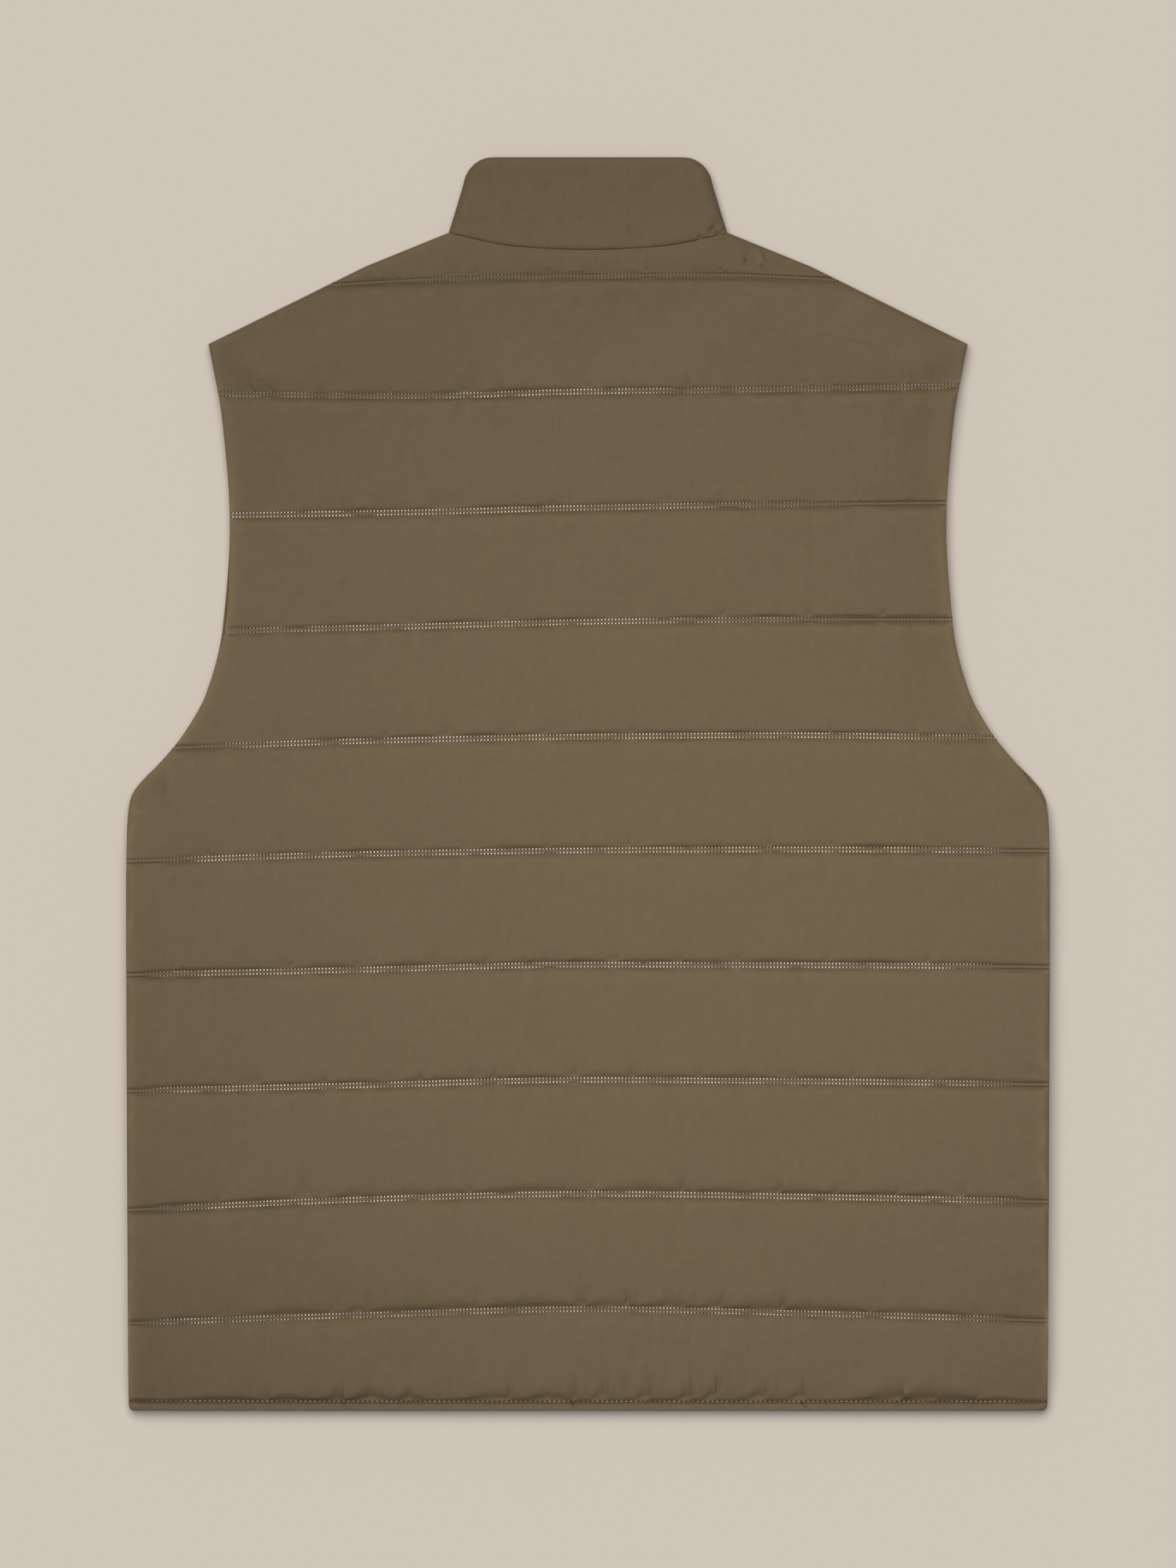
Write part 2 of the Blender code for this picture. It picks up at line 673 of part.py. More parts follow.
def slider_mesh():
    """Two plates round the chain, the post between them, and the bridge that holds the pull tab."""
    level = float(meeting_level(0.0, SLIDER_HEIGHT))
    half_y = SLIDER_LENGTH / 2
    half_x = SLIDER_WIDTH / 2
    plate_y = (SLIDER_HEIGHT - half_y, SLIDER_HEIGHT + half_y)
    lower_top = level + CHAIN_BOTTOM - SEAM
    lower = (lower_top - SLIDER_LOWER_PLATE, lower_top)
    upper_low = level + CHAIN_TOP + SEAM
    upper = (upper_low, upper_low + SLIDER_UPPER_PLATE)
    post_y = SLIDER_HEIGHT + SLIDER_POST_OFFSET
    post = SLIDER_POST / 2
    post_z = (lower[1] - JOIN_DEPTH, upper[0] + JOIN_DEPTH)
    bar_x = BRIDGE_WIDTH / 2
    bar_y = (SLIDER_HEIGHT - BRIDGE_HALF_LENGTH, SLIDER_HEIGHT + BRIDGE_HALF_LENGTH)
    bar_z = (BRIDGE_LOW, BRIDGE_LOW + BRIDGE_BAR)
    pieces = [
        block("lower_plate", (-half_x, half_x), plate_y, lower),
        block("upper_plate", (-half_x, half_x), plate_y, upper),
        block("post", (-post, post), (post_y - post, post_y + post), post_z),
        block("bridge_bar", (-bar_x, bar_x), bar_y, bar_z),
    ]
    leg_x = bar_x - JOIN_INSET
    leg_z = (bar_z[1] - JOIN_DEPTH, lower[0] + JOIN_DEPTH)
    for start in (bar_y[0] + JOIN_INSET, bar_y[1] - JOIN_INSET - BRIDGE_LEG):
        pieces.append(block("bridge_leg", (-leg_x, leg_x), (start, start + BRIDGE_LEG), leg_z))
    return combine("zip_slider", pieces)


def cylinder(name, radius, depth, centre, axis, sides=PULL_SIDES):
    """A cylinder along X or Z, with its middle at centre in millimetres."""
    turn = (0.0, math.pi / 2, 0.0) if axis == "X" else (0.0, 0.0, 0.0)
    bpy.ops.mesh.primitive_cylinder_add(
        vertices=sides, radius=radius * MM, depth=depth * MM, location=place(centre), rotation=turn
    )
    made = bpy.context.active_object
    made.name = name
    return made


def loose_object(mesh):
    made = bpy.data.objects.new(mesh.name, mesh)
    bpy.context.scene.collection.objects.link(made)
    return made


def pull_mesh():
    """The pull tab: a plate with a window round the bridge, a round bar at its end and an eye."""
    half = PULL_WIDTH / 2
    far = SLIDER_HEIGHT - PULL_LENGTH
    z = (PULL_AXIS_Z - PULL_THICKNESS / 2, PULL_AXIS_Z + PULL_THICKNESS / 2)
    window_x = PULL_WINDOW_WIDTH / 2
    window_end = SLIDER_HEIGHT - PULL_WINDOW_START - PULL_WINDOW_LENGTH
    window_y = (window_end, SLIDER_HEIGHT + CUT_MARGIN)
    window_z = (z[0] - CUT_MARGIN, z[1] + CUT_MARGIN)
    end_at = (0.0, far + half, PULL_AXIS_Z)
    eye_at = (0.0, far + PULL_EYE_MARGIN, PULL_AXIS_Z)
    bar_at = (0.0, SLIDER_HEIGHT, PULL_AXIS_Z)

    plate = block("plate", (-half, half), (far + half, SLIDER_HEIGHT), z)
    end = cylinder("end", half - JOIN_INSET, PULL_THICKNESS - JOIN_INSET, end_at, "Z")
    window = block("window", (-window_x, window_x), window_y, window_z)
    eye = cylinder("eye", PULL_EYE_RADIUS, PULL_THICKNESS + CUT_MARGIN, eye_at, "Z")
    bar_length = PULL_WIDTH - 2 * JOIN_INSET
    bar = cylinder("bar", PULL_BAR_RADIUS, bar_length, bar_at, "X", PULL_BAR_SIDES)
    tab = loose_object(combine("tab", [plate, end]))
    frame = loose_object(combine("frame", [tab, window, eye], "DIFFERENCE"))
    return combine("zip_pull", [frame, bar])


# ---- the vest ------------------------------------------------------------------------------------


def clear_scene():
    for thing in list(bpy.data.objects):
        bpy.data.objects.remove(thing)


def build():
    clear_scene()
    vest = bpy.data.collections.new(COLLECTION_NAME)
    cutters = bpy.data.collections.new("cutters")
    bpy.context.scene.collection.children.link(vest)
    bpy.context.scene.collection.children.link(cutters)
    cloth = material("taffeta", CLOTH_COLOUR, 0.55)
    tape = material("zip_tape", TAPE_COLOUR, 0.8)
    plastic = material("zip_chain", TAPE_COLOUR, 0.45)
    metal = material("zip_metal", METAL_COLOUR, 0.35, 1.0)

    add_object("back_panel", wall_mesh("back_panel", *back_grids()), cloth, vest)

    cutter = neck_cutter(cutters)
    for side, name in ((-1, "front_left"), (1, "front_right")):
        front = add_object(name, wall_mesh(name, *front_grids(side)), cloth, vest)
        cut = front.modifiers.new("neckline", "BOOLEAN")
        cut.operation = "DIFFERENCE"
        cut.object = cutter
        cut.solver = "EXACT"

    outer, inner = collar_half_grids()
    collar = wall_mesh("collar", mirrored_band(outer), mirrored_band(inner))
    add_object("collar", collar, cloth, vest)

    heights = zip_heights()
    for side, name in ((-1, "zip_tape_left"), (1, "zip_tape_right")):
        tape_x = [side * TAPE_INNER_X, side * TAPE_OUTER_X]
        grids = strip_grids(tape_x, heights, TAPE_BOTTOM, TAPE_TOP)
        add_object(name, wall_mesh(name, *grids), tape, vest)

    chain_end = SLIDER_HEIGHT + CHAIN_END_IN_SLIDER
    chain_start = ZIP_START + BOX_LENGTH + SEAM
    inside = heights[(heights > chain_start + 1) & (heights < chain_end - 1)]
    chain_heights = np.array([chain_start, *inside, chain_end])
    chain_x = [-CHAIN_HALF_WIDTH, CHAIN_HALF_WIDTH]
    grids = strip_grids(chain_x, chain_heights, CHAIN_BOTTOM, CHAIN_TOP)
    add_object("zip_chain", wall_mesh("zip_chain", *grids), plastic, vest)

    box_heights = np.linspace(ZIP_START, ZIP_START + BOX_LENGTH, 4)
    box_x = [-BOX_HALF_WIDTH, BOX_HALF_WIDTH]
    grids = strip_grids(box_x, box_heights, CHAIN_BOTTOM, CHAIN_TOP)
    add_object("zip_box", wall_mesh("zip_box", *grids), metal, vest)

    add_object("zip_slider", slider_mesh(), metal, vest)
    add_object("zip_pull", pull_mesh(), metal, vest)


build()
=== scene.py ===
import math
from collections import namedtuple

import bmesh
import bpy
import numpy as np
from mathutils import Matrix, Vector


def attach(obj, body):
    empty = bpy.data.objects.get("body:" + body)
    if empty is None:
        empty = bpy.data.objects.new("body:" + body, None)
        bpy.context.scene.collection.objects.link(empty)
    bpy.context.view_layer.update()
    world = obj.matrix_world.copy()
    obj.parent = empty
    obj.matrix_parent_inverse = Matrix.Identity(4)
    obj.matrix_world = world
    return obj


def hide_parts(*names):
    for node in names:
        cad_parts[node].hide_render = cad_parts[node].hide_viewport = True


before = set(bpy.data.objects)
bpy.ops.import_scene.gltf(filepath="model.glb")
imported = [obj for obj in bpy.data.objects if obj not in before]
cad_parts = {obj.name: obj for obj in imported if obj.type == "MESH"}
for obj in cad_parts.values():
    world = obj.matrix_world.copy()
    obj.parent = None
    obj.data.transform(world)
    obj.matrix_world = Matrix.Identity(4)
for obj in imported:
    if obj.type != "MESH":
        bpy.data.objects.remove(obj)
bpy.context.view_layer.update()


# ---- Back panel ----------------------------------------------------------------------------------
# The back is one panel of polyester taffeta quilted over light padding, laid on the two fronts. Ten
# double rows of stitching cross it, and between them the cloth swells and puckers where the thread
# pulls. Sizes are in millimetres, heights count from the hem.

MM = 0.001
LENGTH = 775.0  # from the hem to the collar's top edge
NECK_HEIGHT = 728.3
NECK_HALF = 86.3
SEAM = 0.3  # between two pieces sewn together
LAYER_GAP = 0.5  # between the fronts and the back that lies on them
LAYER_GAP_RAMP = 9.0

STITCH_WALL = 6.0  # where a row of quilting presses the padding flat
EDGE_WALL = 4.2  # at a seam or a turned edge
HEM_WALL = 1.3  # the turned hem is thicker by this much
HEM_EASE = 95.0  # from the hem the outside rises evenly up to this height
HEM_ROLL = 1.2  # the turned hem below its row of stitching
EDGE_ROUND = 5.0
HEM_ROUND = 0.9
BAND = 1.95  # half width of the flat strip that a double row of quilting lies in
BAND_HALF = {"hem_stitch": 0.7, "neck_seam": 0.3}  # and of a single row

STITCH_PITCH = 2.13
STITCH_ROW_HALF = 1.21  # each quilting line is two rows this far from its middle
HEM_PITCH = 2.96

# Where fronts and back meet, above the surface
LEVEL_INSIDE = 10.3
LEVEL_HEM = 3.4
LEVEL_SHOULDER = 5.0
LEVEL_NECK_RISE = 2.3
LEVEL_NECK_HALF = 90.0
LEVEL_RAMP = 45.0
LEVEL_HEM_RAMP = 30.0

OutlineStation = namedtuple("OutlineStation", "height half_width")
ARMHOLE_OUTLINE = (
    OutlineStation(0.0, 281.6),
    OutlineStation(1.0, 283.2),
    OutlineStation(4.0, 284.0),
    OutlineStation(80.0, 284.5),
    OutlineStation(200.0, 285.1),
    OutlineStation(320.0, 285.5),
    OutlineStation(356.0, 285.1),
    OutlineStation(370.0, 284.3),
    OutlineStation(378.0, 283.0),
    OutlineStation(384.0, 280.2),
    OutlineStation(391.0, 274.3),
    OutlineStation(401.0, 264.3),
    OutlineStation(420.0, 249.0),
    OutlineStation(445.0, 235.4),
    OutlineStation(484.0, 225.9),
    OutlineStation(548.0, 221.5),
    OutlineStation(610.0, 225.9),
    OutlineStation(659.5, 234.6),
)
SHOULDER_OUTLINE = (
    OutlineStation(659.5, 234.6),
    OutlineStation(707.4, 137.7),
    OutlineStation(NECK_HEIGHT, NECK_HALF),
)
FRONT_NECK_HEIGHT = 665.0
FRONT_NECK_POWER = 2.2

# Where the front peeks out past the back's edge
Peek = namedtuple("Peek", "side height half_length depth")
PEEKS = (Peek(-1, 495.0, 46.0, 1.8), Peek(1, 385.5, 15.0, 3.4))
PEEK_REACH = 14.0

# Courses across the vest, with heights at the left edge, the quarters, and the right edge
Course = namedtuple("Course", "name stitched left quarter middle three_quarter right")
COURSES = (
    Course("hem_edge", False, 0.0, 0.0, 0.0, 0.0, 0.0),
    Course("hem_stitch", True, 6.2, 5.9, 5.8, 5.8, 5.8),
    Course("quilting_1", True, 54.2, 59.2, 62.9, 60.1, 55.9),
    Course("quilting_2", True, 124.2, 130.6, 134.2, 132.3, 129.3),
    Course("quilting_3", True, 197.8, 201.2, 204.6, 203.7, 201.8),
    Course("quilting_4", True, 269.6, 272.6, 275.8, 275.4, 274.5),
    Course("quilting_5", True, 339.8, 344.1, 346.4, 347.0, 346.1),
    Course("underarm_low", False, 370.0, 372.0, 373.0, 373.0, 370.0),
    Course("underarm_high", False, 384.0, 387.0, 388.0, 388.0, 384.0),
    Course("quilting_6", True, 410.0, 414.2, 416.7, 417.6, 415.9),
    Course("quilting_7", True, 482.0, 484.7, 487.6, 489.0, 489.2),
    Course("quilting_8", True, 553.6, 555.3, 558.2, 560.1, 561.3),
    Course("quilting_9", True, 628.6, 627.2, 630.0, 631.2, 633.5),
    Course("shoulder_tips", False, 659.5, 661.0, 662.2, 661.8, 659.5),
    Course("quilting_10", True, 695.9, 700.0, 701.5, 702.2, 699.4),
    Course("neck_seam", True, 728.0, 719.6, 717.6, 719.6, 728.0),
)
ACROSS = np.array([-1.0, -0.5, 0.0, 0.5, 1.0])

# Pulls, where the thread draws the cloth into a small fold: its place on the line, how far up it
# reaches, and how far it leans over on the way
Pull = namedtuple("Pull", "x reach lean")
BACK_PULLS = {
    "hem_stitch": (
        Pull(-199, 7, 2),
        Pull(-151, 6, -1),
        Pull(-133, 7, 1),
        Pull(-111, 9, 2),
        Pull(-92, 6, 2),
        Pull(-50, 14, 5),
        Pull(-26, 6, 2),
        Pull(-8, 13, 1),
        Pull(9, 14, 5),
        Pull(36, 17, 8),
        Pull(62, 13, 5),
        Pull(77, 16, 6),
        Pull(108, 15, 5),
        Pull(133, 13, 2),
        Pull(191, 15, 11),
        Pull(213, 7, 3),
        Pull(240, 6, 2),
    ),
    "quilting_1": (
        Pull(-228, 5, 1),
        Pull(-158, 6, -1),
        Pull(-141, 5, 2),
        Pull(-69, 6, -1),
        Pull(-3, 6, 1),
        Pull(24, 20, 4),
        Pull(59, 13, -2),
        Pull(81, 15, 5),
        Pull(120, 20, 3),
        Pull(175, 6, 1),
        Pull(240, 9, -2),
    ),
    "quilting_2": (
        Pull(-229, 5, 1),
        Pull(-171, 13, -5),
        Pull(-73, 7, 1),
        Pull(2, 6, 1),
        Pull(58, 18, 5),
        Pull(117, 15, 5),
        Pull(153, 7, 2),
        Pull(190, 6, 3),
        Pull(231, 13, 7),
    ),
    "quilting_3": (
        Pull(-205, 5, 1),
        Pull(-163, 5, 1),
        Pull(-103, 8, 1),
        Pull(-58, 13, 5),
        Pull(-8, 9, 1),
        Pull(28, 7, 1),
        Pull(69, 6, 1),
        Pull(128, 6, -1),
        Pull(163, 7, 2),
        Pull(210, 6, 1),
    ),
    "quilting_4": (
        Pull(-257, 6, 1),
        Pull(-184, 5, 1),
        Pull(-142, 6, 1),
        Pull(-63, 8, 1),
        Pull(-40, 5, 2),
        Pull(17, 8, 1),
        Pull(57, 7, 1),
        Pull(92, 6, 2),
        Pull(147, 6, 2),
        Pull(210, 5, 1),
    ),
    "quilting_5": (
        Pull(-235, 5, 1),
        Pull(-162, 4, 1),
        Pull(-75, 7, -2),
        Pull(-25, 5, 1),
        Pull(25, 7, 1),
        Pull(112, 6, 1),
        Pull(150, 5, 1),
        Pull(224, 5, -1),
    ),
    "quilting_6": (
        Pull(-203, 4, 1),
        Pull(-125, 4, 1),
        Pull(-88, 6, 1),
        Pull(-27, 4, 1),
        Pull(27, 6, 1),
        Pull(76, 4, 1),
        Pull(150, 6, -1),
        Pull(203, 5, 1),
    ),
    "quilting_7": (
        Pull(-190, 4, 1),
        Pull(-108, 5, 1),
        Pull(-50, 6, 1),
        Pull(17, 7, 1),
        Pull(83, 5, 1),
        Pull(137, 7, 1),
        Pull(182, 6, 2),
    ),
    "quilting_8": (
        Pull(-145, 4, 1),
        Pull(-90, 5, 1),
        Pull(-22, 4, 1),
        Pull(50, 4, 1),
        Pull(110, 5, 1),
        Pull(165, 9, 2),
    ),
    "quilting_9": (
        Pull(-208, 9, -3),
        Pull(-196, 8, -2),
        Pull(-122, 6, 1),
        Pull(-76, 5, 1),
        Pull(0, 4, 1),
        Pull(62, 5, 1),
        Pull(135, 7, 3),
        Pull(150, 8, 3),
        Pull(195, 10, 1),
        Pull(214, 9, -2),
    ),
    "quilting_10": (
        Pull(-120, 5, -2),
        Pull(-70, 4, 1),
        Pull(-24, 5, 1),
        Pull(36, 4, 1),
        Pull(82, 5, 1),
    ),
    "neck_seam": (),
}

# Sags, where the cloth hangs over a line between two pulls: how far up it does so, and at which
# share of the way it does most
Sag = namedtuple("Sag", "from_x to_x reach peak")
BACK_SAGS = {
    "hem_stitch": (
        Sag(-262, -200, 2.6, 0.6),
        Sag(-198, -172, 4.2, 0.5),
        Sag(-171, -151, 7.0, 0.8),
        Sag(-149, -121, 6.6, 0.55),
        Sag(-119, -99, 5.5, 0.45),
        Sag(-98, -48, 6.0, 0.8),
        Sag(-44, -10, 6.4, 0.6),
        Sag(-7, 9, 7.0, 0.85),
        Sag(11, 38, 7.6, 0.88),
        Sag(39, 64, 7.2, 0.86),
        Sag(64, 79, 7.5, 0.82),
        Sag(80, 110, 7.2, 0.84),
        Sag(112, 133, 6.8, 0.86),
        Sag(136, 198, 8.8, 0.86),
        Sag(197, 245, 7.6, 0.26),
        Sag(245, 268, 2.2, 0.4),
    ),
    "quilting_1": (
        Sag(-272, -222, 1.3, 0.5),
        Sag(-215, -157, 5.0, 0.55),
        Sag(-155, -137, 6.0, 0.75),
        Sag(-136, -101, 4.8, 0.5),
        Sag(-103, -67, 6.0, 0.45),
        Sag(-65, -4, 6.4, 0.42),
        Sag(-1, 24, 5.8, 0.5),
        Sag(26, 60, 7.0, 0.75),
        Sag(62, 83, 6.6, 0.78),
        Sag(86, 121, 7.0, 0.6),
        Sag(123, 176, 6.6, 0.36),
        Sag(178, 245, 4.0, 0.3),
        Sag(246, 270, 1.6, 0.5),
    ),
    "quilting_2": (
        Sag(-270, -232, 2.4, 0.5),
        Sag(-226, -176, 3.6, 0.5),
        Sag(-172, -135, 6.0, 0.8),
        Sag(-133, -98, 5.0, 0.6),
        Sag(-99, -74, 5.2, 0.5),
        Sag(-72, -3, 5.8, 0.55),
        Sag(0, 59, 6.2, 0.62),
        Sag(60, 92, 6.0, 0.7),
        Sag(91, 119, 6.0, 0.72),
        Sag(120, 154, 6.0, 0.4),
        Sag(155, 192, 5.6, 0.72),
        Sag(192, 222, 5.6, 0.72),
        Sag(228, 272, 2.4, 0.5),
    ),
    "quilting_3": (
        Sag(-277, -212, 3.0, 0.4),
        Sag(-206, -166, 2.8, 0.5),
        Sag(-162, -128, 4.0, 0.5),
        Sag(-126, -100, 5.4, 0.78),
        Sag(-100, -72, 4.6, 0.4),
        Sag(-70, -54, 6.4, 0.8),
        Sag(-53, -10, 4.2, 0.4),
        Sag(-5, 28, 5.8, 0.45),
        Sag(31, 69, 5.0, 0.4),
        Sag(72, 122, 5.0, 0.4),
        Sag(127, 164, 4.6, 0.4),
        Sag(166, 215, 3.6, 0.6),
        Sag(218, 262, 2.6, 0.4),
    ),
    "quilting_4": (
        Sag(-274, -190, 2.6, 0.5),
        Sag(-182, -142, 4.2, 0.5),
        Sag(-139, -94, 4.6, 0.6),
        Sag(-92, -60, 5.0, 0.7),
        Sag(-59, -16, 4.2, 0.7),
        Sag(-14, 15, 5.0, 0.35),
        Sag(18, 55, 5.2, 0.5),
        Sag(56, 93, 4.4, 0.4),
        Sag(97, 146, 4.8, 0.35),
        Sag(149, 206, 3.8, 0.4),
        Sag(210, 256, 3.4, 0.4),
    ),
    "quilting_5": (
        Sag(-220, -164, 1.9, 0.5),
        Sag(-160, -110, 2.8, 0.5),
        Sag(-109, -75, 3.2, 0.6),
        Sag(-72, -27, 4.6, 0.6),
        Sag(-24, 24, 4.2, 0.4),
        Sag(27, 70, 3.8, 0.6),
        Sag(71, 110, 3.8, 0.35),
        Sag(114, 152, 4.2, 0.4),
        Sag(154, 222, 3.4, 0.4),
        Sag(226, 250, 1.6, 0.5),
    ),
    "quilting_6": (
        Sag(-200, -128, 2.6, 0.7),
        Sag(-125, -90, 4.0, 0.6),
        Sag(-86, -52, 4.0, 0.5),
        Sag(-51, -26, 3.6, 0.5),
        Sag(-25, 28, 3.8, 0.6),
        Sag(29, 76, 3.6, 0.4),
        Sag(77, 122, 3.0, 0.5),
        Sag(123, 150, 3.2, 0.5),
        Sag(153, 200, 4.0, 0.4),
        Sag(203, 238, 2.6, 0.4),
    ),
    "quilting_7": (
        Sag(-200, -110, 2.2, 0.6),
        Sag(-106, -52, 3.8, 0.6),
        Sag(-48, 15, 3.8, 0.5),
        Sag(20, 44, 2.2, 0.5),
        Sag(52, 82, 2.8, 0.5),
        Sag(84, 136, 3.4, 0.5),
        Sag(139, 182, 3.0, 0.4),
        Sag(184, 215, 2.0, 0.4),
    ),
    "quilting_8": (
        Sag(-160, -124, 2.4, 0.5),
        Sag(-112, -92, 2.6, 0.5),
        Sag(-88, -24, 3.2, 0.5),
        Sag(-20, 48, 3.6, 0.6),
        Sag(52, 84, 2.4, 0.4),
        Sag(88, 150, 1.6, 0.4),
    ),
    "quilting_9": (
        Sag(-142, -100, 2.4, 0.6),
        Sag(-99, -78, 3.6, 0.5),
        Sag(-74, -1, 3.4, 0.5),
        Sag(1, 58, 3.2, 0.5),
        Sag(61, 100, 2.0, 0.35),
    ),
    "quilting_10": (Sag(-90, 20, 0.9, 0.5),),
    "neck_seam": (),
}

# Creases across the turned hem, each from the stitching down to the edge
Crease = namedtuple("Crease", "x to_x depth")
HEM_CREASES = (
    Crease(-151.0, -148.4, 1.44),
    Crease(-127.0, -126.0, 0.54),
    Crease(-48.5, -47.5, 0.54),
    Crease(-9.6, -6.8, 2.16),
    Crease(7.4, 9.2, 0.9),
    Crease(77.6, 79.4, 0.9),
    Crease(132.7, 136.8, 2.16),
    Crease(191.5, 193.6, 1.08),
    Crease(229.6, 231.6, 0.9),
    Crease(238.8, 241.0, 0.9),
)

# Larger folds, each along a line; a negative depth is a ridge
Fold = namedtuple("Fold", "x height to_x to_height half_width depth")
BACK_FOLDS = (
    Fold(101.2, 718.0, 98.2, 708.5, 1.7, 2.6),
    Fold(108.3, 717.0, 114.2, 708.8, 1.6, 3.0),
    Fold(116.4, 708.8, 119.4, 705.4, 1.6, 2.2),
    Fold(93.5, 724.0, 103.0, 720.6, 1.7, 2.0),
    Fold(104.8, 716.5, 106.5, 708.0, 2.4, -1.6),
    Fold(77.0, 22.0, 90.0, 46.0, 3.0, -0.7),
    Fold(-150.0, 694.0, -142.0, 684.0, 5.0, 1.2),
    Fold(-131.0, 697.0, -128.0, 686.0, 3.0, -0.9),
    Fold(-92.0, 696.0, -88.0, 689.0, 2.6, 1.0),
    Fold(-262.0, 393.0, -266.0, 377.0, 2.4, 1.4),
    Fold(-258.0, 397.0, -259.0, 378.0, 3.0, -1.0),
    Fold(-275.0, 386.0, -279.0, 376.0, 1.8, 1.2),
    Fold(-282.0, 372.0, -270.0, 366.0, 2.0, -0.9),
    Fold(-283.0, 345.0, -270.0, 352.0, 1.8, 1.2),
    Fold(-283.0, 334.0, -262.0, 337.0, 1.8, 1.3),
    Fold(-285.0, 352.0, -280.0, 363.0, 1.8, -0.9),
    Fold(-285.5, 293.0, -281.5, 303.0, 1.8, -1.1),
    Fold(-284.5, 228.0, -278.0, 239.0, 2.0, -1.3),
    Fold(-285.0, 176.0, -281.0, 184.0, 1.8, -0.9),
    Fold(-285.0, 110.0, -281.5, 118.0, 1.8, -0.8),
    Fold(-285.0, 75.0, -282.0, 79.0, 1.5, -0.8),
    Fold(-283.0, 306.0, -276.0, 300.0, 2.8, 0.8),
    Fold(-283.0, 243.0, -272.0, 240.0, 3.0, 0.8),
    Fold(284.0, 316.0, 283.0, 340.0, 2.2, -0.7),
    Fold(286.0, 292.0, 281.0, 303.0, 2.0, -1.2),
    Fold(286.0, 211.0, 279.0, 217.0, 2.2, -1.4),
    Fold(281.0, 205.0, 271.0, 212.0, 1.6, 0.7),
    Fold(278.5, 176.5, 284.5, 167.0, 1.8, -1.2),
    Fold(279.0, 149.5, 284.5, 138.0, 1.8, -1.3),
    Fold(275.5, 155.5, 273.5, 152.0, 1.6, 1.0),
    Fold(284.5, 80.0, 283.5, 91.0, 2.0, -0.8),
    Fold(236.0, 428.0, 248.0, 412.0, 2.2, 1.0),
    Fold(229.0, 432.0, 240.0, 420.0, 2.2, -0.8),
    Fold(198.0, 405.0, 205.0, 392.0, 2.8, -0.8),
    Fold(-120.0, 402.0, -118.0, 388.0, 2.8, -0.8),
    Fold(-202.0, 402.0, -200.0, 390.0, 2.8, 0.9),
    Fold(-236.0, 330.0, -240.0, 318.0, 2.8, 0.9),
    Fold(-36.0, 268.0, -33.0, 252.0, 2.4, -0.8),
    Fold(1.0, 130.0, 3.0, 118.0, 2.0, -1.0),
    Fold(44.0, 58.0, 46.0, 42.0, 2.0, -0.8),
    Fold(62.0, 56.0, 58.0, 40.0, 2.0, -0.8),
    Fold(-225.0, 690.0, -222.0, 640.0, 7.0, 0.7),
    Fold(-214.0, 648.0, -196.0, 636.0, 2.2, -0.9),
    Fold(150.0, 655.0, 170.0, 690.0, 7.0, -0.9),
    Fold(206.0, 622.0, 216.0, 600.0, 2.8, 0.9),
)


def smooth_through(stations, values, at):
    """A smooth curve through (stations, values) that doesn't swing past them."""
    stations = np.asarray(stations, float)
    values = np.asarray(values, float)
    at = np.clip(np.asarray(at, float), stations[0], stations[-1])
    steps = np.diff(values) / np.diff(stations)
    before, after = steps[:-1], steps[1:]
    same_way = before * after > 0
    both = np.where(same_way, before + after, 1.0)
    middle = np.where(same_way, 2 * before * after / both, 0.0)
    slopes = np.concatenate([steps[:1], middle, steps[-1:]])
    index = np.clip(np.searchsorted(stations, at, side="right") - 1, 0, len(stations) - 2)
    step = stations[index + 1] - stations[index]
    t = (at - stations[index]) / step
    start = (1 + 2 * t) * (1 - t) ** 2 * values[index] + t * (1 - t) ** 2 * step * slopes[index]
    end = t**2 * (3 - 2 * t) * values[index + 1] - t**2 * (1 - t) * step * slopes[index + 1]
    return start + end


def quarter_round(distance, radius):
    """Rises from 0 at an edge to 1 at the radius, as a quarter of an ellipse."""
    left = 1 - np.clip(distance / radius, 0, 1)
    return np.sqrt(1 - left**2)


def fade(distance, ramp):
    """Falls smoothly from 1 at distance 0 to 0 at the ramp's end."""
    return np.cos(np.clip(distance / ramp, 0, 1) * math.pi / 2) ** 2


def half_width(height):
    """Half of the flat vest's width, without its collar, at a height above the hem."""
    armhole = smooth_through(*zip(*ARMHOLE_OUTLINE), height)
    shoulder = np.interp(height, *zip(*SHOULDER_OUTLINE))
    return np.where(height <= SHOULDER_OUTLINE[0].height, armhole, shoulder)


def slant(height):
    """Distance across the vest for each unit of distance from its edge."""
    rise = 0.5
    slope = (half_width(height + rise) - half_width(height - rise)) / (2 * rise)
    return math.sqrt(1 + float(slope) ** 2)


def peek(side, height):
    """How far the back's edge lies inside the front's."""
    rows = [row for row in PEEKS if row.side == side]
    return sum(row.depth * float(fade(abs(height - row.height), row.half_length)) for row in rows)


def course_height(course, across):
    return smooth_through(ACROSS, course[2:], across)


def back_neck(x):
    """Height of the back neck seam."""
    return course_height(COURSES[-1], np.abs(x) / float(half_width(COURSES[-1].right)))


def front_neck(x):
    """Height of the front neck seam, which dips towards the zip."""
    share = np.clip(np.abs(x) / NECK_HALF, 0, 1)
    return FRONT_NECK_HEIGHT + (NECK_HEIGHT - FRONT_NECK_HEIGHT) * share**FRONT_NECK_POWER


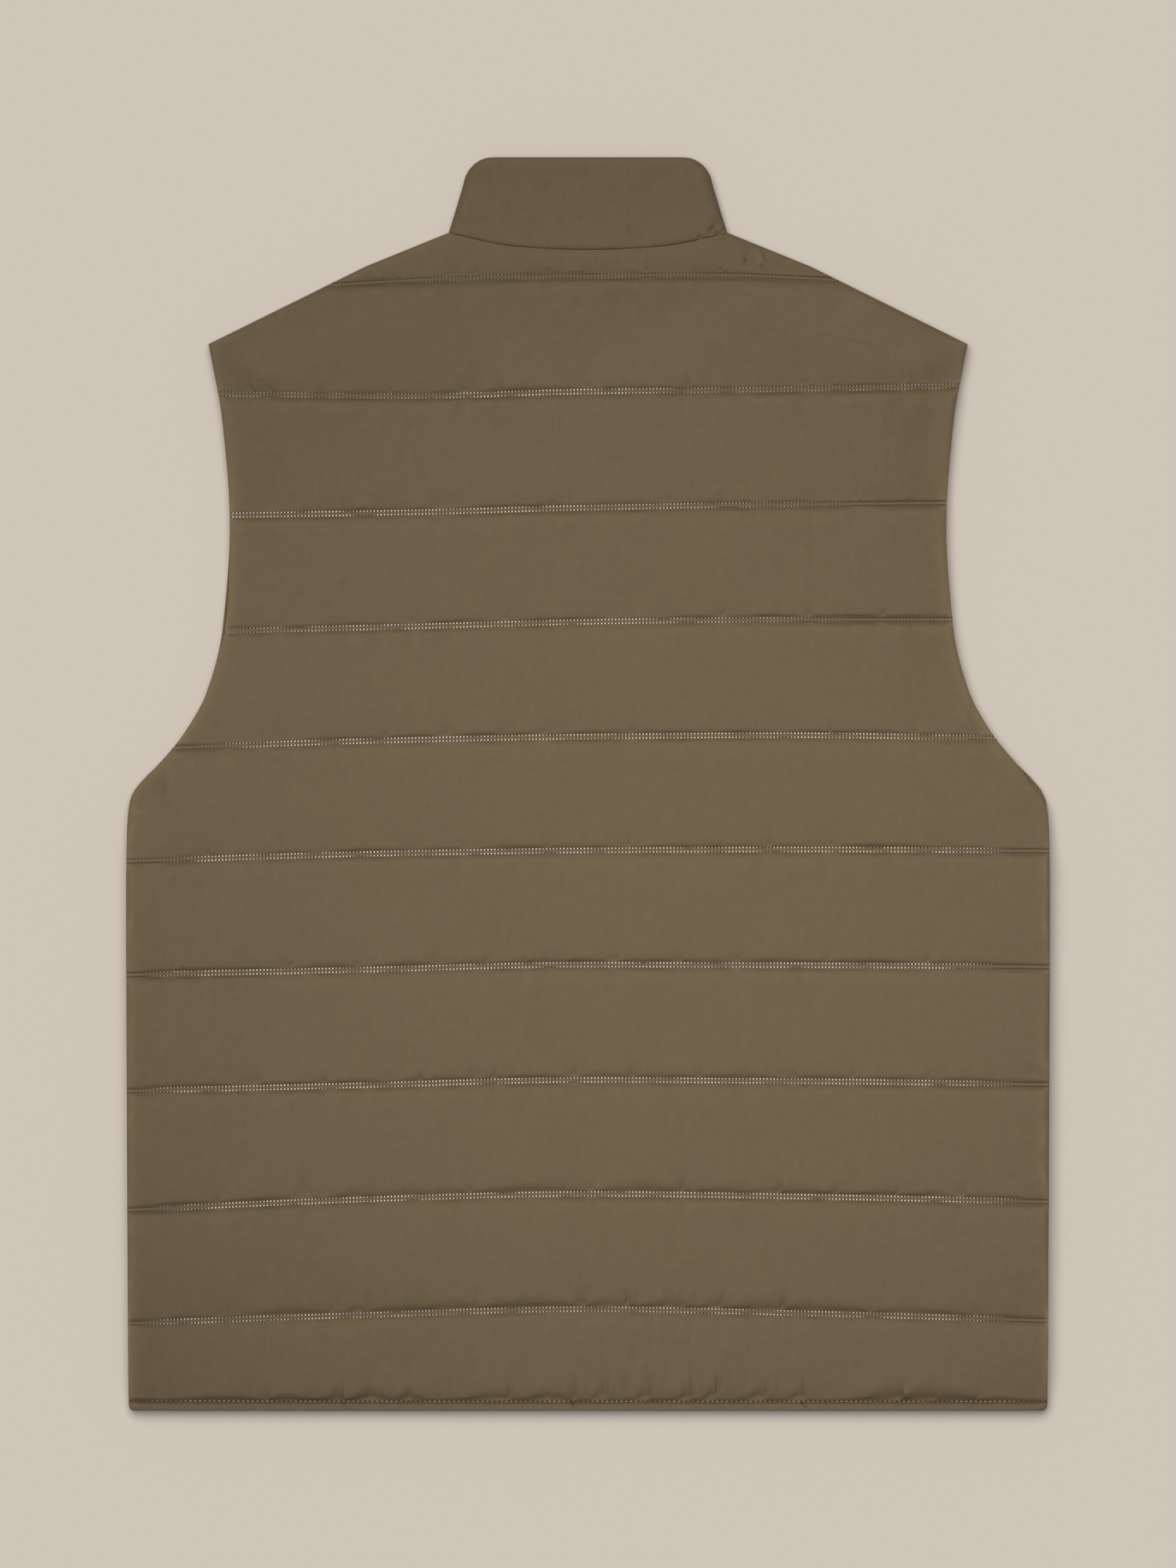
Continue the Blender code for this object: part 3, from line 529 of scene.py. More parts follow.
def front_top_outline():
    """The right front's edge from the underarm over the shoulder to the middle of the neck seam."""
    sides = [(float(half_width(h)), h) for h in np.arange(376.0, 728.0, 8.0)]
    neck = [(x, float(front_neck(x))) for x in np.arange(NECK_HALF, 0.0, -4.0)]
    return np.array(sides + neck + [(0.0, FRONT_NECK_HEIGHT)])


TOP_OUTLINE = front_top_outline()


def distance_to_top(x, height):
    """Distance from a front's armhole, shoulder and neck edges, 0 beyond the neck seam."""
    point = np.stack([np.abs(x), height], axis=-1)[..., None, :]
    start = TOP_OUTLINE[:-1]
    along = TOP_OUTLINE[1:] - start
    share = np.clip(np.sum((point - start) * along, -1) / np.sum(along**2, -1), 0, 1)
    nearest = start + share[..., None] * along
    distance = np.min(np.linalg.norm(point - nearest, axis=-1), axis=-1)
    beyond = (np.abs(x) < NECK_HALF) & (height > front_neck(x))
    return np.where(beyond, 0.0, distance)


def meeting_level(x, height):
    """The height above the surface at which the fronts end and the back lies on them."""
    x = np.asarray(x, float)
    height = np.asarray(height, float)
    rise = LEVEL_NECK_RISE * np.clip(1 - (x / LEVEL_NECK_HALF) ** 2, 0, 1)
    top = (LEVEL_INSIDE - LEVEL_SHOULDER - rise) * fade(distance_to_top(x, height), LEVEL_RAMP)
    hem = (LEVEL_INSIDE - LEVEL_HEM) * fade(height, LEVEL_HEM_RAMP)
    return LEVEL_INSIDE - top - hem


def wander(seed, shortest, longest, waves=16):
    """A smooth unevenness of about -1 to 1, as a sum of waves of mixed lengths and directions."""
    random = np.random.default_rng(seed)
    length = np.exp(random.uniform(math.log(shortest), math.log(longest), waves))
    direction = random.uniform(0, 2 * math.pi, waves)
    phase = random.uniform(0, 2 * math.pi, waves)

    def read(x, height):
        x, height = np.broadcast_arrays(np.asarray(x, float), np.asarray(height, float))
        total = np.zeros(x.shape)
        for one, turn, start in zip(length, direction, phase):
            along = x * math.cos(turn) + height * math.sin(turn)
            total += np.cos(2 * math.pi * along / one + start)
        return total / math.sqrt(waves)

    return read


# A row of mesh points: a share of the way between two courses, the stitching below and above, and
# whether only every second point of it is used
Row = namedtuple("Row", "lower upper share below above sparse")
HEM_SHARES = (0.0, 0.05, 0.13, 0.26, 0.42, 0.58, 0.70, 0.80, 0.88, 0.94)
ROWS_ABOVE_HEM = (0.7, 1.3, 2.1, 3.1, 4.3, 5.8, 7.6, 10.0, 13.0)
ROWS_ABOVE = (1.95, 2.4, 3.0, 3.8, 4.8, 6.2, 8.2, 11.4)
ROWS_BELOW = (1.95, 2.4, 3.1, 4.4, 6.6)
ROWS_FAR = (11.0, 15.0, 19.5, 24.5, 30.0, 36.0)
OPEN_STEP = 3.4  # between rows where no stitching is near
NECK_ROWS = 36  # below the neck seam, where the columns slant in with the shoulders


def stitched_before(index):
    return next((c for c in reversed(COURSES[: index + 1]) if c.stitched), None)


def stitched_after(index):
    return next((c for c in COURSES[index:] if c.stitched), None)


def row_shares(lower, upper, every):
    """Shares of the way from a course to the next for its mesh rows, and whether each is sparse."""
    if lower is COURSES[0]:
        return [(share, False) for share in HEM_SHARES[:: min(every, 2)]]
    if upper.name == "neck_seam":
        return [(number / NECK_ROWS, False) for number in range(0, NECK_ROWS, every)]
    span = float(np.mean(np.subtract(upper[2:], lower[2:])))
    shares = [(0.0, False)]
    if lower.stitched:
        reach = (0.49 if upper.stitched else 0.93) * span
        near = ROWS_ABOVE_HEM if lower.name == "hem_stitch" else ROWS_ABOVE
        shares += [(step / span, False) for step in near[::every] if step < reach]
        shares += [(step / span, True) for step in ROWS_FAR[::every] if near[-1] + 2 < step < reach]
    elif upper.stitched:
        count = round((span - ROWS_BELOW[-1]) / (OPEN_STEP * every))
        shares += [(number * OPEN_STEP * every / span, False) for number in range(1, count)]
    else:
        count = round(span / (OPEN_STEP * every))
        shares += [(number / count, False) for number in range(1, count)]
    if upper.stitched:
        reach = 0.49 * span if lower.stitched else ROWS_BELOW[-1] + 0.1
        above = [(1 - step / span, False) for step in ROWS_BELOW[::every] if step < reach]
        above += [(1 - step / span, True) for step in ROWS_FAR[::every] if step < reach]
        shares += sorted(above)
    return shares


def fine_rows(every):
    """The mesh rows of a panel, closest beside each line of stitching, or every so many of them."""
    rows = []
    for index, (lower, upper) in enumerate(zip(COURSES, COURSES[1:])):
        shares = row_shares(lower, upper, every)
        if upper is COURSES[-1]:
            shares = shares + [(1.0, False)]
        for share, sparse in shares:
            below, above = stitched_before(index), stitched_after(index + 1)
            rows.append(Row(lower, upper, share, below, above, sparse))
    return rows


def row_height(row, across):
    low = course_height(row.lower, across)
    return low + row.share * (course_height(row.upper, across) - low)


# Mesh columns beside an outer edge
EDGE_STEPS = (0.0, 0.35, *np.arange(0.8, 4.9, 0.5).round(1).tolist(), 5.4, 6.0, 6.7, 7.4, 8.2, 9.0)
BACK_COLUMNS = 333  # between the two edges' own columns
COLUMNS_AT_PULL = 4.0  # so many times as close where the thread pulls
COLUMNS_BESIDE_PULL = 7.0  # over this far each side of it
COLUMNS_AT_FOLD = 36.0  # and beside folds no further than this from the line
COLUMN_TRIALS = 1200


def crowded(places, low, high, count):
    """count places from low to high, closest where the cloth has its folds."""
    x = np.linspace(low, high, COLUMN_TRIALS)
    density = np.ones_like(x)
    for place_x in places:
        near = np.exp(-(((x - place_x) / COLUMNS_BESIDE_PULL) ** 2))
        density = np.maximum(density, 1 + (COLUMNS_AT_PULL - 1) * near)
    run = np.concatenate([[0], np.cumsum((density[1:] + density[:-1]) / 2)])
    return np.interp(np.linspace(0, run[-1], count), run, x)


def fold_places(course):
    """x of the folds beside a course, with its pulls moved half way along their lean."""
    course = course or COURSES[1]
    pulls = [pull.x + pull.lean / 2 for pull in BACK_PULLS[course.name]]
    near = [fold for fold in BACK_FOLDS if abs(fold.height - course.middle) < COLUMNS_AT_FOLD]
    return pulls + [fold.x for fold in near]


def back_columns(row, edges, slants):
    """x of a back row's points, from the left edge to the right."""
    left = [-edges[0] + step * slants[0] for step in EDGE_STEPS]
    right = [edges[1] - step * slants[1] for step in EDGE_STEPS]
    ends = []
    for course in (row.below, row.above):
        ends.append(crowded(fold_places(course), left[-1], right[-1], BACK_COLUMNS + 2))
    middle = float(row_height(row, 0.0))
    low = row.below.middle if row.below else 0.0
    share = fade(np.clip(middle - low, 0, None), row.above.middle - low)
    x = share * ends[0] + (1 - share) * ends[1]
    return np.array(left + x[1:-1].tolist() + right[::-1])


PULL_HALF = 6.0  # the stitching's puff is drawn in over this far each side of a pull
PULL_ABOVE = 0.8  # a pull's fold above a line of quilting, as a share of its reach
PULL_BELOW = 0.4  # and below it
PULL_DEPTH = 0.9  # of its fold at the stitching
PULL_DEEPER = 0.09  # and more for each unit of its reach
PULL_RIDGE = 0.35  # the ridge beside the fold, as a share of its depth
PULL_RIDGE_AWAY = 2.6
PULL_RIDGE_HALF = 1.5


def drawn_in(pulls, x):
    """1 at a pull and 0 between pulls."""
    found = np.zeros_like(x)
    for pull in pulls:
        found = np.maximum(found, np.exp(-(((x - pull.x) / PULL_HALF) ** 2)))
    return found


LEAST_SAG = 0.6  # where the cloth lies taut


def sag_reach(sags, x):
    """How far from its line the cloth sags at places along it."""
    reach = np.full_like(x, LEAST_SAG)
    for sag in sags:
        share = np.clip((x - sag.from_x) / (sag.to_x - sag.from_x), 0, 1)
        bent = share ** (math.log(0.5) / math.log(sag.peak))
        reach = np.maximum(reach, sag.reach * np.sin(np.pi * bent) ** 0.8)
    return reach


def pull_folds(pulls, x, away, share):
    """Depth of the small folds that pulls raise at a distance from their stitching.

    A fold drops gently on its left and rises steeply on its right, where a low ridge follows.
    """
    depth = np.zeros_like(x)
    for pull in pulls:
        reach = pull.reach * share
        along = np.clip(away / reach, 0, 1)
        across = x - pull.x - pull.lean * share * along
        strength = (PULL_DEPTH + PULL_DEEPER * reach) * np.where(away > 0, 1 - along, 0)
        left = 0.7 * np.exp(-np.abs(across) / (1.6 + 0.2 * reach))
        left += 0.3 * np.exp(-((across / 1.2) ** 2))
        right = np.exp(-((across / 1.1) ** 2))
        ridge = np.exp(-(((across - PULL_RIDGE_AWAY) / PULL_RIDGE_HALF) ** 2))
        depth += strength * (np.where(across < 0, left, right) - PULL_RIDGE * ridge)
    return depth


def large_folds(folds, x, height):
    """Depth of the listed folds at points of a panel."""
    depth = np.zeros_like(x)
    for fold in folds:
        along = np.array([fold.to_x - fold.x, fold.to_height - fold.height])
        length = np.linalg.norm(along)
        away = np.stack([x - fold.x, height - fold.height], -1)
        share = (away @ along) / length**2
        across = (away[..., 0] * along[1] - away[..., 1] * along[0]) / length
        ends = np.exp(-(((share - 0.5) / 0.55) ** 4))
        depth += fold.depth * ends * np.exp(-((across / fold.half_width) ** 2))
    return depth


# Above a line the cloth hangs over it in sags, and below a line it leaves the stitching steeply
CHANNEL_RISE = 2.9  # the padding lifts the cloth by this much beside its stitching
DOME_RISE = 0.5  # and a channel is a flat dome by this much more
STEEPEST = 1.6  # rise for each unit of distance where a sag leaves the stitching
SAG_SHARE = 0.46  # the distance a sag's slope fades over, as a share of its reach
SAG_MOST = 1.5  # a sag's steep part takes this share of the rise at most
HEM_SAG_MORE = 1.6  # and so much more of it above the hem
SAG_BLEND = (-16.0, -8.0, 0.0, 8.0, 16.0)  # places over which the sags' mean is taken
NOTCH_RAMP = 5.0  # a notch between two sags reaches this far
GENTLE_RAMP = 24.0  # where the cloth doesn't sag it rises over this distance
BELOW_RISE = 4.3  # the steep rise below a line, which fades over the next distance
BELOW_FADE = 2.05
DRAWN_LOSS = 0.6  # the share of it that a pull takes away
DRAWN_MEAN = 0.88  # what the pulls leave of it on average
OPEN_RAMP = 1.5  # folds and crinkles begin over this distance from the flat strip
CRINKLE_DEPTH = 0.2
CRINKLE_REACH = 9.0
SWELL_DEPTH = 0.35

# How much narrower the sags above these lines are, how much steeper the cloth is below others, and
# how bluntly a sag's slope begins
FLANKS_ABOVE = {
    "quilting_3": 0.9,
    "quilting_4": 0.9,
    "quilting_5": 0.75,
    "quilting_6": 0.75,
    "quilting_7": 0.7,
    "quilting_8": 0.7,
    "quilting_9": 0.7,
    "quilting_10": 0.5,
}
FLANKS_BELOW = {
    "quilting_1": 0.65,
    "quilting_8": 1.25,
    "quilting_9": 1.3,
    "quilting_10": 1.5,
    "neck_seam": 0.25,
}
SAG_POWER = {"hem_stitch": 1.5, "quilting_1": 1.25, "quilting_2": 1.15}
CRINKLE = wander(3, 6.0, 15.0)
SWELL = wander(5, 45.0, 130.0)
SLACK = wander(11, 18.0, 60.0)
EDGE_WOBBLE = wander(7, 14.0, 50.0)


def line_distances(row, across, height):
    """Distances from the flat strips of the stitching below and above a row."""
    below = height - course_height(row.below, across) - BAND_HALF.get(row.below.name, BAND)
    above = course_height(row.above, across) - BAND_HALF.get(row.above.name, BAND) - height
    return below, above


def from_thread(row, across, height):
    """Distance from the middle of the nearest line of stitching, for the cloth's needle holes."""
    if row.below is None or row.below.name == "hem_stitch":
        hem = STITCH_ROW_HALF + height - course_height(COURSES[1], across)
        if row.below is None:
            return np.maximum(hem, 0.0)
        above = course_height(row.above, across) - height
        return np.where(hem < above, hem, above)
    below = height - course_height(row.below, across)
    if row.above.name == "neck_seam":
        return below
    return np.minimum(below, course_height(row.above, across) - height)


def sag_steepness(line, x):
    """How far a line's sags fade at places along it, and their share of the channel's rise."""
    fade_over = SAG_SHARE * FLANKS_ABOVE.get(line, 1) * sag_reach(BACK_SAGS[line], x)
    share = np.minimum(STEEPEST * fade_over / CHANNEL_RISE, SAG_MOST)
    return fade_over, HEM_SAG_MORE * share if line == "hem_stitch" else share


def low_above_line(line, x, away):
    """Share of a channel's rise still missing at a distance above its lower line."""
    fade_over, steep = sag_steepness(line, x)
    mean = sum(sag_steepness(line, x + step)[1] for step in SAG_BLEND) / len(SAG_BLEND)
    power = SAG_POWER.get(line, 1)
    fade_over *= 1.1 * power - 0.1
    low = steep * np.exp(-((away / fade_over) ** power))
    low += (mean - steep) * np.exp(-away / NOTCH_RAMP)
    return low + (1 - mean) * np.exp(-away / GENTLE_RAMP)


def low_below_line(course, x, away):
    """Share of a channel's rise still missing at a distance below its upper course."""
    mean = BELOW_RISE / CHANNEL_RISE * FLANKS_BELOW.get(course.name, 1)
    steep = mean * (1 - DRAWN_LOSS * drawn_in(BACK_PULLS[course.name], x))
    steep *= np.clip(1 + 0.5 * SLACK(x, course.middle - 40), 0.3, 1.8)
    mean *= DRAWN_MEAN
    fade_over = BELOW_FADE * (1 + 0.25 * SLACK(x, course.middle + 30))
    low = steep * np.exp(-away / fade_over)
    low += (mean - steep) * np.exp(-away / NOTCH_RAMP)
    return low + (1 - mean) * np.exp(-away / GENTLE_RAMP)


def hem_roll(across, x, height):
    """How far the turned hem rolls up below its stitching, with its creases."""
    share = np.clip(height / (course_height(COURSES[1], across) - BAND_HALF["hem_stitch"]), 0, 1)
    roll = HEM_ROLL * (1 - share**5)
    for crease in HEM_CREASES:
        place_x = crease.to_x + (crease.x - crease.to_x) * share
        roll -= crease.depth * share**0.5 * np.exp(-((x - place_x) ** 2))
    return roll


def swelling(row, across, x, height):
    """How far the padding lifts the back's cloth along one row, in millimetres."""
    if row.below is None:
        return hem_roll(across, x, height)
    below, above = line_distances(row, across, height)
    span = below + above
    below = np.clip(below, 0, None)
    above = np.clip(above, 0, None)
    low = low_above_line(row.below.name, x, below)
    high = low_below_line(row.above, x, above)
    lift = CHANNEL_RISE * (1 - low) * (1 - high)
    lift += DOME_RISE * (1 - np.clip(np.abs(2 * below / span - 1), 0, 1) ** 2)
    nearest = np.minimum(below, above)
    open_cloth = np.clip(nearest / OPEN_RAMP, 0, 1)
    above_line = 1.0 if row.below.name == "hem_stitch" else PULL_ABOVE
    lift -= pull_folds(BACK_PULLS[row.below.name], x, below, above_line) * open_cloth
    lift -= pull_folds(BACK_PULLS[row.above.name], x, above, PULL_BELOW) * open_cloth
    lift -= large_folds(BACK_FOLDS, x, height) * open_cloth
    near = np.exp(-nearest / CRINKLE_REACH) * open_cloth
    lift += CRINKLE_DEPTH * near * CRINKLE(x, height * 0.35)
    lift += SWELL_DEPTH * open_cloth * SWELL(x, height)
    return np.maximum(lift, 0)


PAINTED_LIGHT_REACH = 2.6  # a painted highlight makes the cloth a little paler this near to its edges
SHOULDER_PAINTED_LIGHT_LOSS = (1.1, 0.7)  # along the right shoulder it turns to faint painted shade, and it is less along the left one
ARMHOLE_PAINTED_LIGHT = 0.6  # more painted highlight along the armholes
ARMHOLE_MIDDLE = 520.0
ARMHOLE_REACH = 150.0
HEM_PAINTED_LIGHT = 0.6  # painted highlight along the hem's edge
HEM_PAINTED_LIGHT_REACH = 0.8
RIDGE_PAINTED_LIGHT = 0.5  # and painted highlight where a fold stands up near an edge
RIDGE_PAINTED_LIGHT_REACH = 12.0
HEM_CREASE_PAINTED_SHADE = 0.8  # and painted shade in the crease that the hem's stitching presses
HEM_CREASE_DROP = 0.4
HEM_CREASE_HALF = 1.2


def back_painted_light(across, x, height, distance):
    """How much painted highlight the back's cloth has at points of it, and painted shade below 0."""
    on_shoulder = np.clip((height - SHOULDER_OUTLINE[0].height) / 4, 0, 1)
    painted_light = np.exp(-distance / PAINTED_LIGHT_REACH) * (1 - on_shoulder * np.where(x > 0, *SHOULDER_PAINTED_LIGHT_LOSS))
    painted_light *= 1 + ARMHOLE_PAINTED_LIGHT * fade(np.abs(height - ARMHOLE_MIDDLE), ARMHOLE_REACH)
    painted_light += HEM_PAINTED_LIGHT * np.exp(-height / HEM_PAINTED_LIGHT_REACH)
    ridges = np.clip(-large_folds(BACK_FOLDS, x, height), 0, 1)
    painted_light += RIDGE_PAINTED_LIGHT * ridges * np.exp(-distance / RIDGE_PAINTED_LIGHT_REACH)
    from_stitching = height + HEM_CREASE_DROP - course_height(COURSES[1], across)
    return painted_light - HEM_CREASE_PAINTED_SHADE * np.exp(-((from_stitching / HEM_CREASE_HALF) ** 2))


def back_row(row, x=None, offset=0.0):
    """Points of the back's outer face and inside along a row, how far its thread lies, and painted
    light.

    x are places across the back, or the mesh's own columns; offset moves them up the vest.
    """
    ends = [float(row_height(row, side)) for side in (-1, 1)]
    edges = [float(half_width(h)) for h in ends]
    slants = [slant(h) for h in ends]
    if x is None:
        x = back_columns(row, edges, slants)
    across = 2 * (x + edges[0]) / (edges[0] + edges[1]) - 1
    height = row_height(row, across) + offset
    distances = [(x + edges[0]) / slants[0], (edges[1] - x) / slants[1]]
    distance = np.minimum(*distances)
    rounds = EDGE_ROUND * (1 + 0.2 * EDGE_WOBBLE(np.sign(x) * 300, height))
    for side, end, edge_slant, away in zip((-1, 1), ends, slants, distances):
        x = x - side * peek(side, end) * edge_slant * np.clip(1 - away / PEEK_REACH, 0, 1)
    rounded = quarter_round(distance, rounds)
    if row.lower is COURSES[0]:
        rounded = np.minimum(rounded, quarter_round(height, HEM_ROUND))
    gap = SEAM + (LAYER_GAP - SEAM) * np.clip(distance / LAYER_GAP_RAMP, 0, 1)
    bottom = meeting_level(x, height) + gap
    full = STITCH_WALL + swelling(row, across, x, height)
    eased = np.clip(1 - height / HEM_EASE, 0, 1)
    full += HEM_WALL * eased + (LEVEL_INSIDE - LEVEL_HEM) * (fade(height, LEVEL_HEM_RAMP) - eased)
    wall = EDGE_WALL + (full - EDGE_WALL) * rounded
    outer = np.stack([x, height, bottom + wall], -1)
    inner = np.stack([x, height, bottom], -1)
    return outer, inner, from_thread(row, across, height), back_painted_light(across, x, height, distance)


def place(points):
    """Millimetres from the hem's middle become metres in the vest's own frame."""
    return (np.asarray(points, float) - np.array([0.0, LENGTH / 2, 0.0])) * MM


INSIDE_ROW_GAP = 5.0  # the plain inside has its points at least this far apart
INSIDE_COLUMN_GAP = 8.5
NO_THREAD = 60.0  # distance from any thread where the cloth has none
HEM_ZONE = 30.0  # below this height the needle holes are as far apart as the hem's stitches
SHARP_EDGE = math.radians(55)


def spread_out(places, apart, also=()):
    """Indices of places at least this far apart, with the first, the last and any others named."""
    kept = [0]
    for index in range(1, len(places) - 1):
        if abs(places[index] - places[kept[-1]]) >= apart or index in also:
            kept.append(index)
    return kept + [len(places) - 1]


def side_spots(start, end, on_rim):
    """Grid spots from start up to end, all of them where the side lies on the rim."""
    if not on_rim:
        return [start]
    count = max(abs(end[0] - start[0]), abs(end[1] - start[1]))
    step = (np.sign(end[0] - start[0]), np.sign(end[1] - start[1]))
    return [(start[0] + i * int(step[0]), start[1] + i * int(step[1])) for i in range(count)]


def faces_between(below, above, columns, below_sparse, above_sparse):
    """Faces between two rows of points, where a sparse row has every second point only."""
    if not (below_sparse or above_sparse):
        return [(below + c, below + c + 1, above + c + 1, above + c) for c in range(columns - 1)]
    faces = []
    for c in range(0, columns - 1, 2):
        low = [below + c, below + c + 1, below + c + 2]
        high = [above + c + 2, above + c + 1, above + c]
        faces.append((low[::2] if below_sparse else low) + (high[::2] if above_sparse else high))
    return faces


def note_on_points(mesh, name, values):
    """Keeps a number for each point of a mesh, for its finish to read."""
    layer = mesh.attributes.new(name, "FLOAT", "POINT")
    layer.data.foreach_set("value", values.astype(np.float32))


def padded_wall(name, outer, inner, away, painted_light, kept_columns=None, sparse=None):
    """A closed wall: a fine outer face, and a plainer inside that shares its rim.

    outer and inner are grids of points. The cloth's finish reads each outer point's distance from
    its thread, the place along it, and its painted light and shade.
    """
    rows, columns = outer.shape[:2]
    if sparse is None:
        sparse = [False] * rows
    used = np.ones((rows, columns), bool)
    for r in range(rows):
        used[r, 1::2] = not sparse[r]
    size = int(used.sum())
    numbers = (np.cumsum(used.ravel()) - 1).tolist()
    kept_rows = spread_out(outer[:, columns // 2, 1], INSIDE_ROW_GAP)
    if kept_columns is None:
        kept_columns = spread_out(outer[rows // 3, :, 0], INSIDE_COLUMN_GAP)
    rim = [(0, c) for c in range(columns)]
    rim += [(r, columns - 1) for r in range(1, rows)]
    rim += [(rows - 1, c) for c in range(columns - 2, -1, -1)]
    rim += [(r, 0) for r in range(rows - 2, 0, -1)]
    inside_index = {spot: size + number for number, spot in enumerate(rim)}
    for r in kept_rows[1:-1]:
        for c in kept_columns[1:-1]:
            inside_index[(r, c)] = size + len(inside_index)
    inside = np.array([inner[spot] for spot in inside_index])
    points = place(np.concatenate([outer[used], inside]))
    faces = []
    for r in range(rows - 1):
        between = faces_between(r * columns, (r + 1) * columns, columns, sparse[r], sparse[r + 1])
        faces += [[numbers[corner] for corner in face] for face in between]
    for r, next_r in zip(kept_rows, kept_rows[1:]):
        for c, next_c in zip(kept_columns, kept_columns[1:]):
            around = side_spots((r, c), (r, next_c), r == 0)
            around += side_spots((r, next_c), (next_r, next_c), next_c == columns - 1)
            around += side_spots((next_r, next_c), (next_r, c), next_r == rows - 1)
            around += side_spots((next_r, c), (r, c), c == 0)
            faces.append([inside_index[spot] for spot in reversed(around)])
    for first, second in zip(rim, rim[1:] + rim[:1]):
        top = [numbers[spot[0] * columns + spot[1]] for spot in (first, second)]
        faces.append([top[1], top[0], inside_index[first], inside_index[second]])
    mesh = bpy.data.meshes.new(name)
    mesh.from_pydata(points.tolist(), [], faces)
    far = np.full(len(inside), NO_THREAD)
    note_on_points(mesh, "from_thread", np.concatenate([away[used], far]))
    pitch = np.where(outer[..., 1] < HEM_ZONE, STITCH_PITCH / HEM_PITCH, 1.0)
    run = np.concatenate([(outer[..., 0] * pitch)[used], inside[:, 0]])
    note_on_points(mesh, "along_thread", run)
    note_on_points(mesh, "painted_lightness", np.concatenate([painted_light[used], 0 * far]))
    face_outwards(mesh)
    mesh.shade_smooth()
    mesh.set_sharp_from_angle(angle=SHARP_EDGE)
    return mesh


def face_outwards(mesh):
    shaper = bmesh.new()
    shaper.from_mesh(mesh)
    bmesh.ops.recalc_face_normals(shaper, faces=shaper.faces)
    shaper.to_mesh(mesh)
    shaper.free()


OLIVE_WARM = (0.170, 0.122, 0.069, 1.0)
OLIVE_GREEN = (0.1622, 0.1203, 0.0668, 1.0)
# painted shade in the needle holes' dimples around the stitches
HOLE_SHADE_BROWN = (0.055, 0.040, 0.023, 1.0)
HOLE_RADIUS = 0.75
THREAD_SPACING = 0.00034  # metres between two threads of the taffeta
LIGHT_POOL_CENTRE = (0.075, -0.065, 0.0)  # a painted pool of light: the cloth is lightest here and darkens away from it
LIGHT_POOL_MOST = 0.838
LIGHT_POOL_LOSS = 1.2
# how far the painted light at the edges brightens the cloth's colour, or its painted shade darkens it
PAINTED_LIGHT_GAIN = 0.42
SLUB_STRETCH = (1.0, 0.12, 1.0)  # the thicker places in the yarn are drawn out along the vest
SLUB_PALER = 0.08


def add_node(tree, kind, inputs=None, **settings):
    """A shader node with its settings and unlinked inputs set."""
    node = tree.nodes.new(kind)
    for key, value in settings.items():
        setattr(node, key, value)
    for key, value in (inputs or {}).items():
        node.inputs[key].default_value = value
    return node


def wire(tree, node, values):
    """Links node outputs to a node's inputs, or sets these to plain values."""
    for socket, value in values:
        if isinstance(value, bpy.types.NodeSocket):
            tree.links.new(value, node.inputs[socket])
        else:
            node.inputs[socket].default_value = value


def sums(tree, operation, first, second=0.0, third=0.0, clamp=False):
    """One step of arithmetic on node outputs or numbers."""
    node = add_node(tree, "ShaderNodeMath", operation=operation, use_clamp=clamp)
    wire(tree, node, enumerate((first, second, third)))
    return node.outputs[0]


def mixed(tree, share, first, second):
    """A colour between two, by a share."""
    node = add_node(tree, "ShaderNodeMix", data_type="RGBA")
    wire(tree, node, ((0, share), (6, first), (7, second)))
    return node.outputs[2]


def shaded(tree, colour, share):
    """A colour made lighter or darker by a share."""
    node = add_node(tree, "ShaderNodeVectorMath", operation="SCALE")
    wire(tree, node, ((0, colour), ("Scale", share)))
    return node.outputs[0]


def noise(tree, where, scale, detail=2.0, roughness=0.5):
    sizes = {"Scale": scale, "Detail": detail, "Roughness": roughness}
    node = add_node(tree, "ShaderNodeTexNoise", sizes)
    tree.links.new(where, node.inputs["Vector"])
    return node.outputs["Fac"]


def weave(tree, where, spacing):
    """Height of a plain weave: warp and weft ribs that pass over each other."""
    waves = []
    for direction in ("X", "Y"):
        scale = 2 * math.pi / 20 / spacing
        settings = {"wave_type": "BANDS", "bands_direction": direction, "wave_profile": "SIN"}
        node = add_node(tree, "ShaderNodeTexWave", {"Scale": scale}, **settings)
        tree.links.new(where, node.inputs["Vector"])
        waves.append(node.outputs["Fac"])
    return sums(tree, "MAXIMUM", *waves)


def needle_holes_and_shade(tree):
    """1 in the middle of each needle hole of a row of stitching, 0 away from them: its dimple and
    painted shade.
    """
    away = add_node(tree, "ShaderNodeAttribute", attribute_name="from_thread").outputs["Fac"]
    run = add_node(tree, "ShaderNodeAttribute", attribute_name="along_thread").outputs["Fac"]
    beside = sums(tree, "SUBTRACT", sums(tree, "ABSOLUTE", away), STITCH_ROW_HALF)
    beside = sums(tree, "MULTIPLY", beside, beside)
    step = sums(tree, "FRACT", sums(tree, "DIVIDE", run, STITCH_PITCH))
    step = sums(tree, "MULTIPLY", sums(tree, "SUBTRACT", step, 0.5), STITCH_PITCH)
    gone = sums(tree, "SQRT", sums(tree, "MULTIPLY_ADD", step, step, beside))
    return sums(tree, "MULTIPLY_ADD", gone, -1.3 / HOLE_RADIUS, 1.3, clamp=True)


def bumped(tree, height, distance, strength, under=None):
    node = add_node(tree, "ShaderNodeBump", {"Distance": distance, "Strength": strength})
    tree.links.new(height, node.inputs["Height"])
    if under is not None:
        tree.links.new(under, node.inputs["Normal"])
    return node.outputs["Normal"]


def fresh_finish(name):
    """A new material with its node tree, shader and the piece's own coordinates."""
    finish = bpy.data.materials.new(name)
    finish.use_nodes = True
    tree = finish.node_tree
    where = add_node(tree, "ShaderNodeTexCoord").outputs["Object"]
    return finish, tree, tree.nodes["Principled BSDF"], where


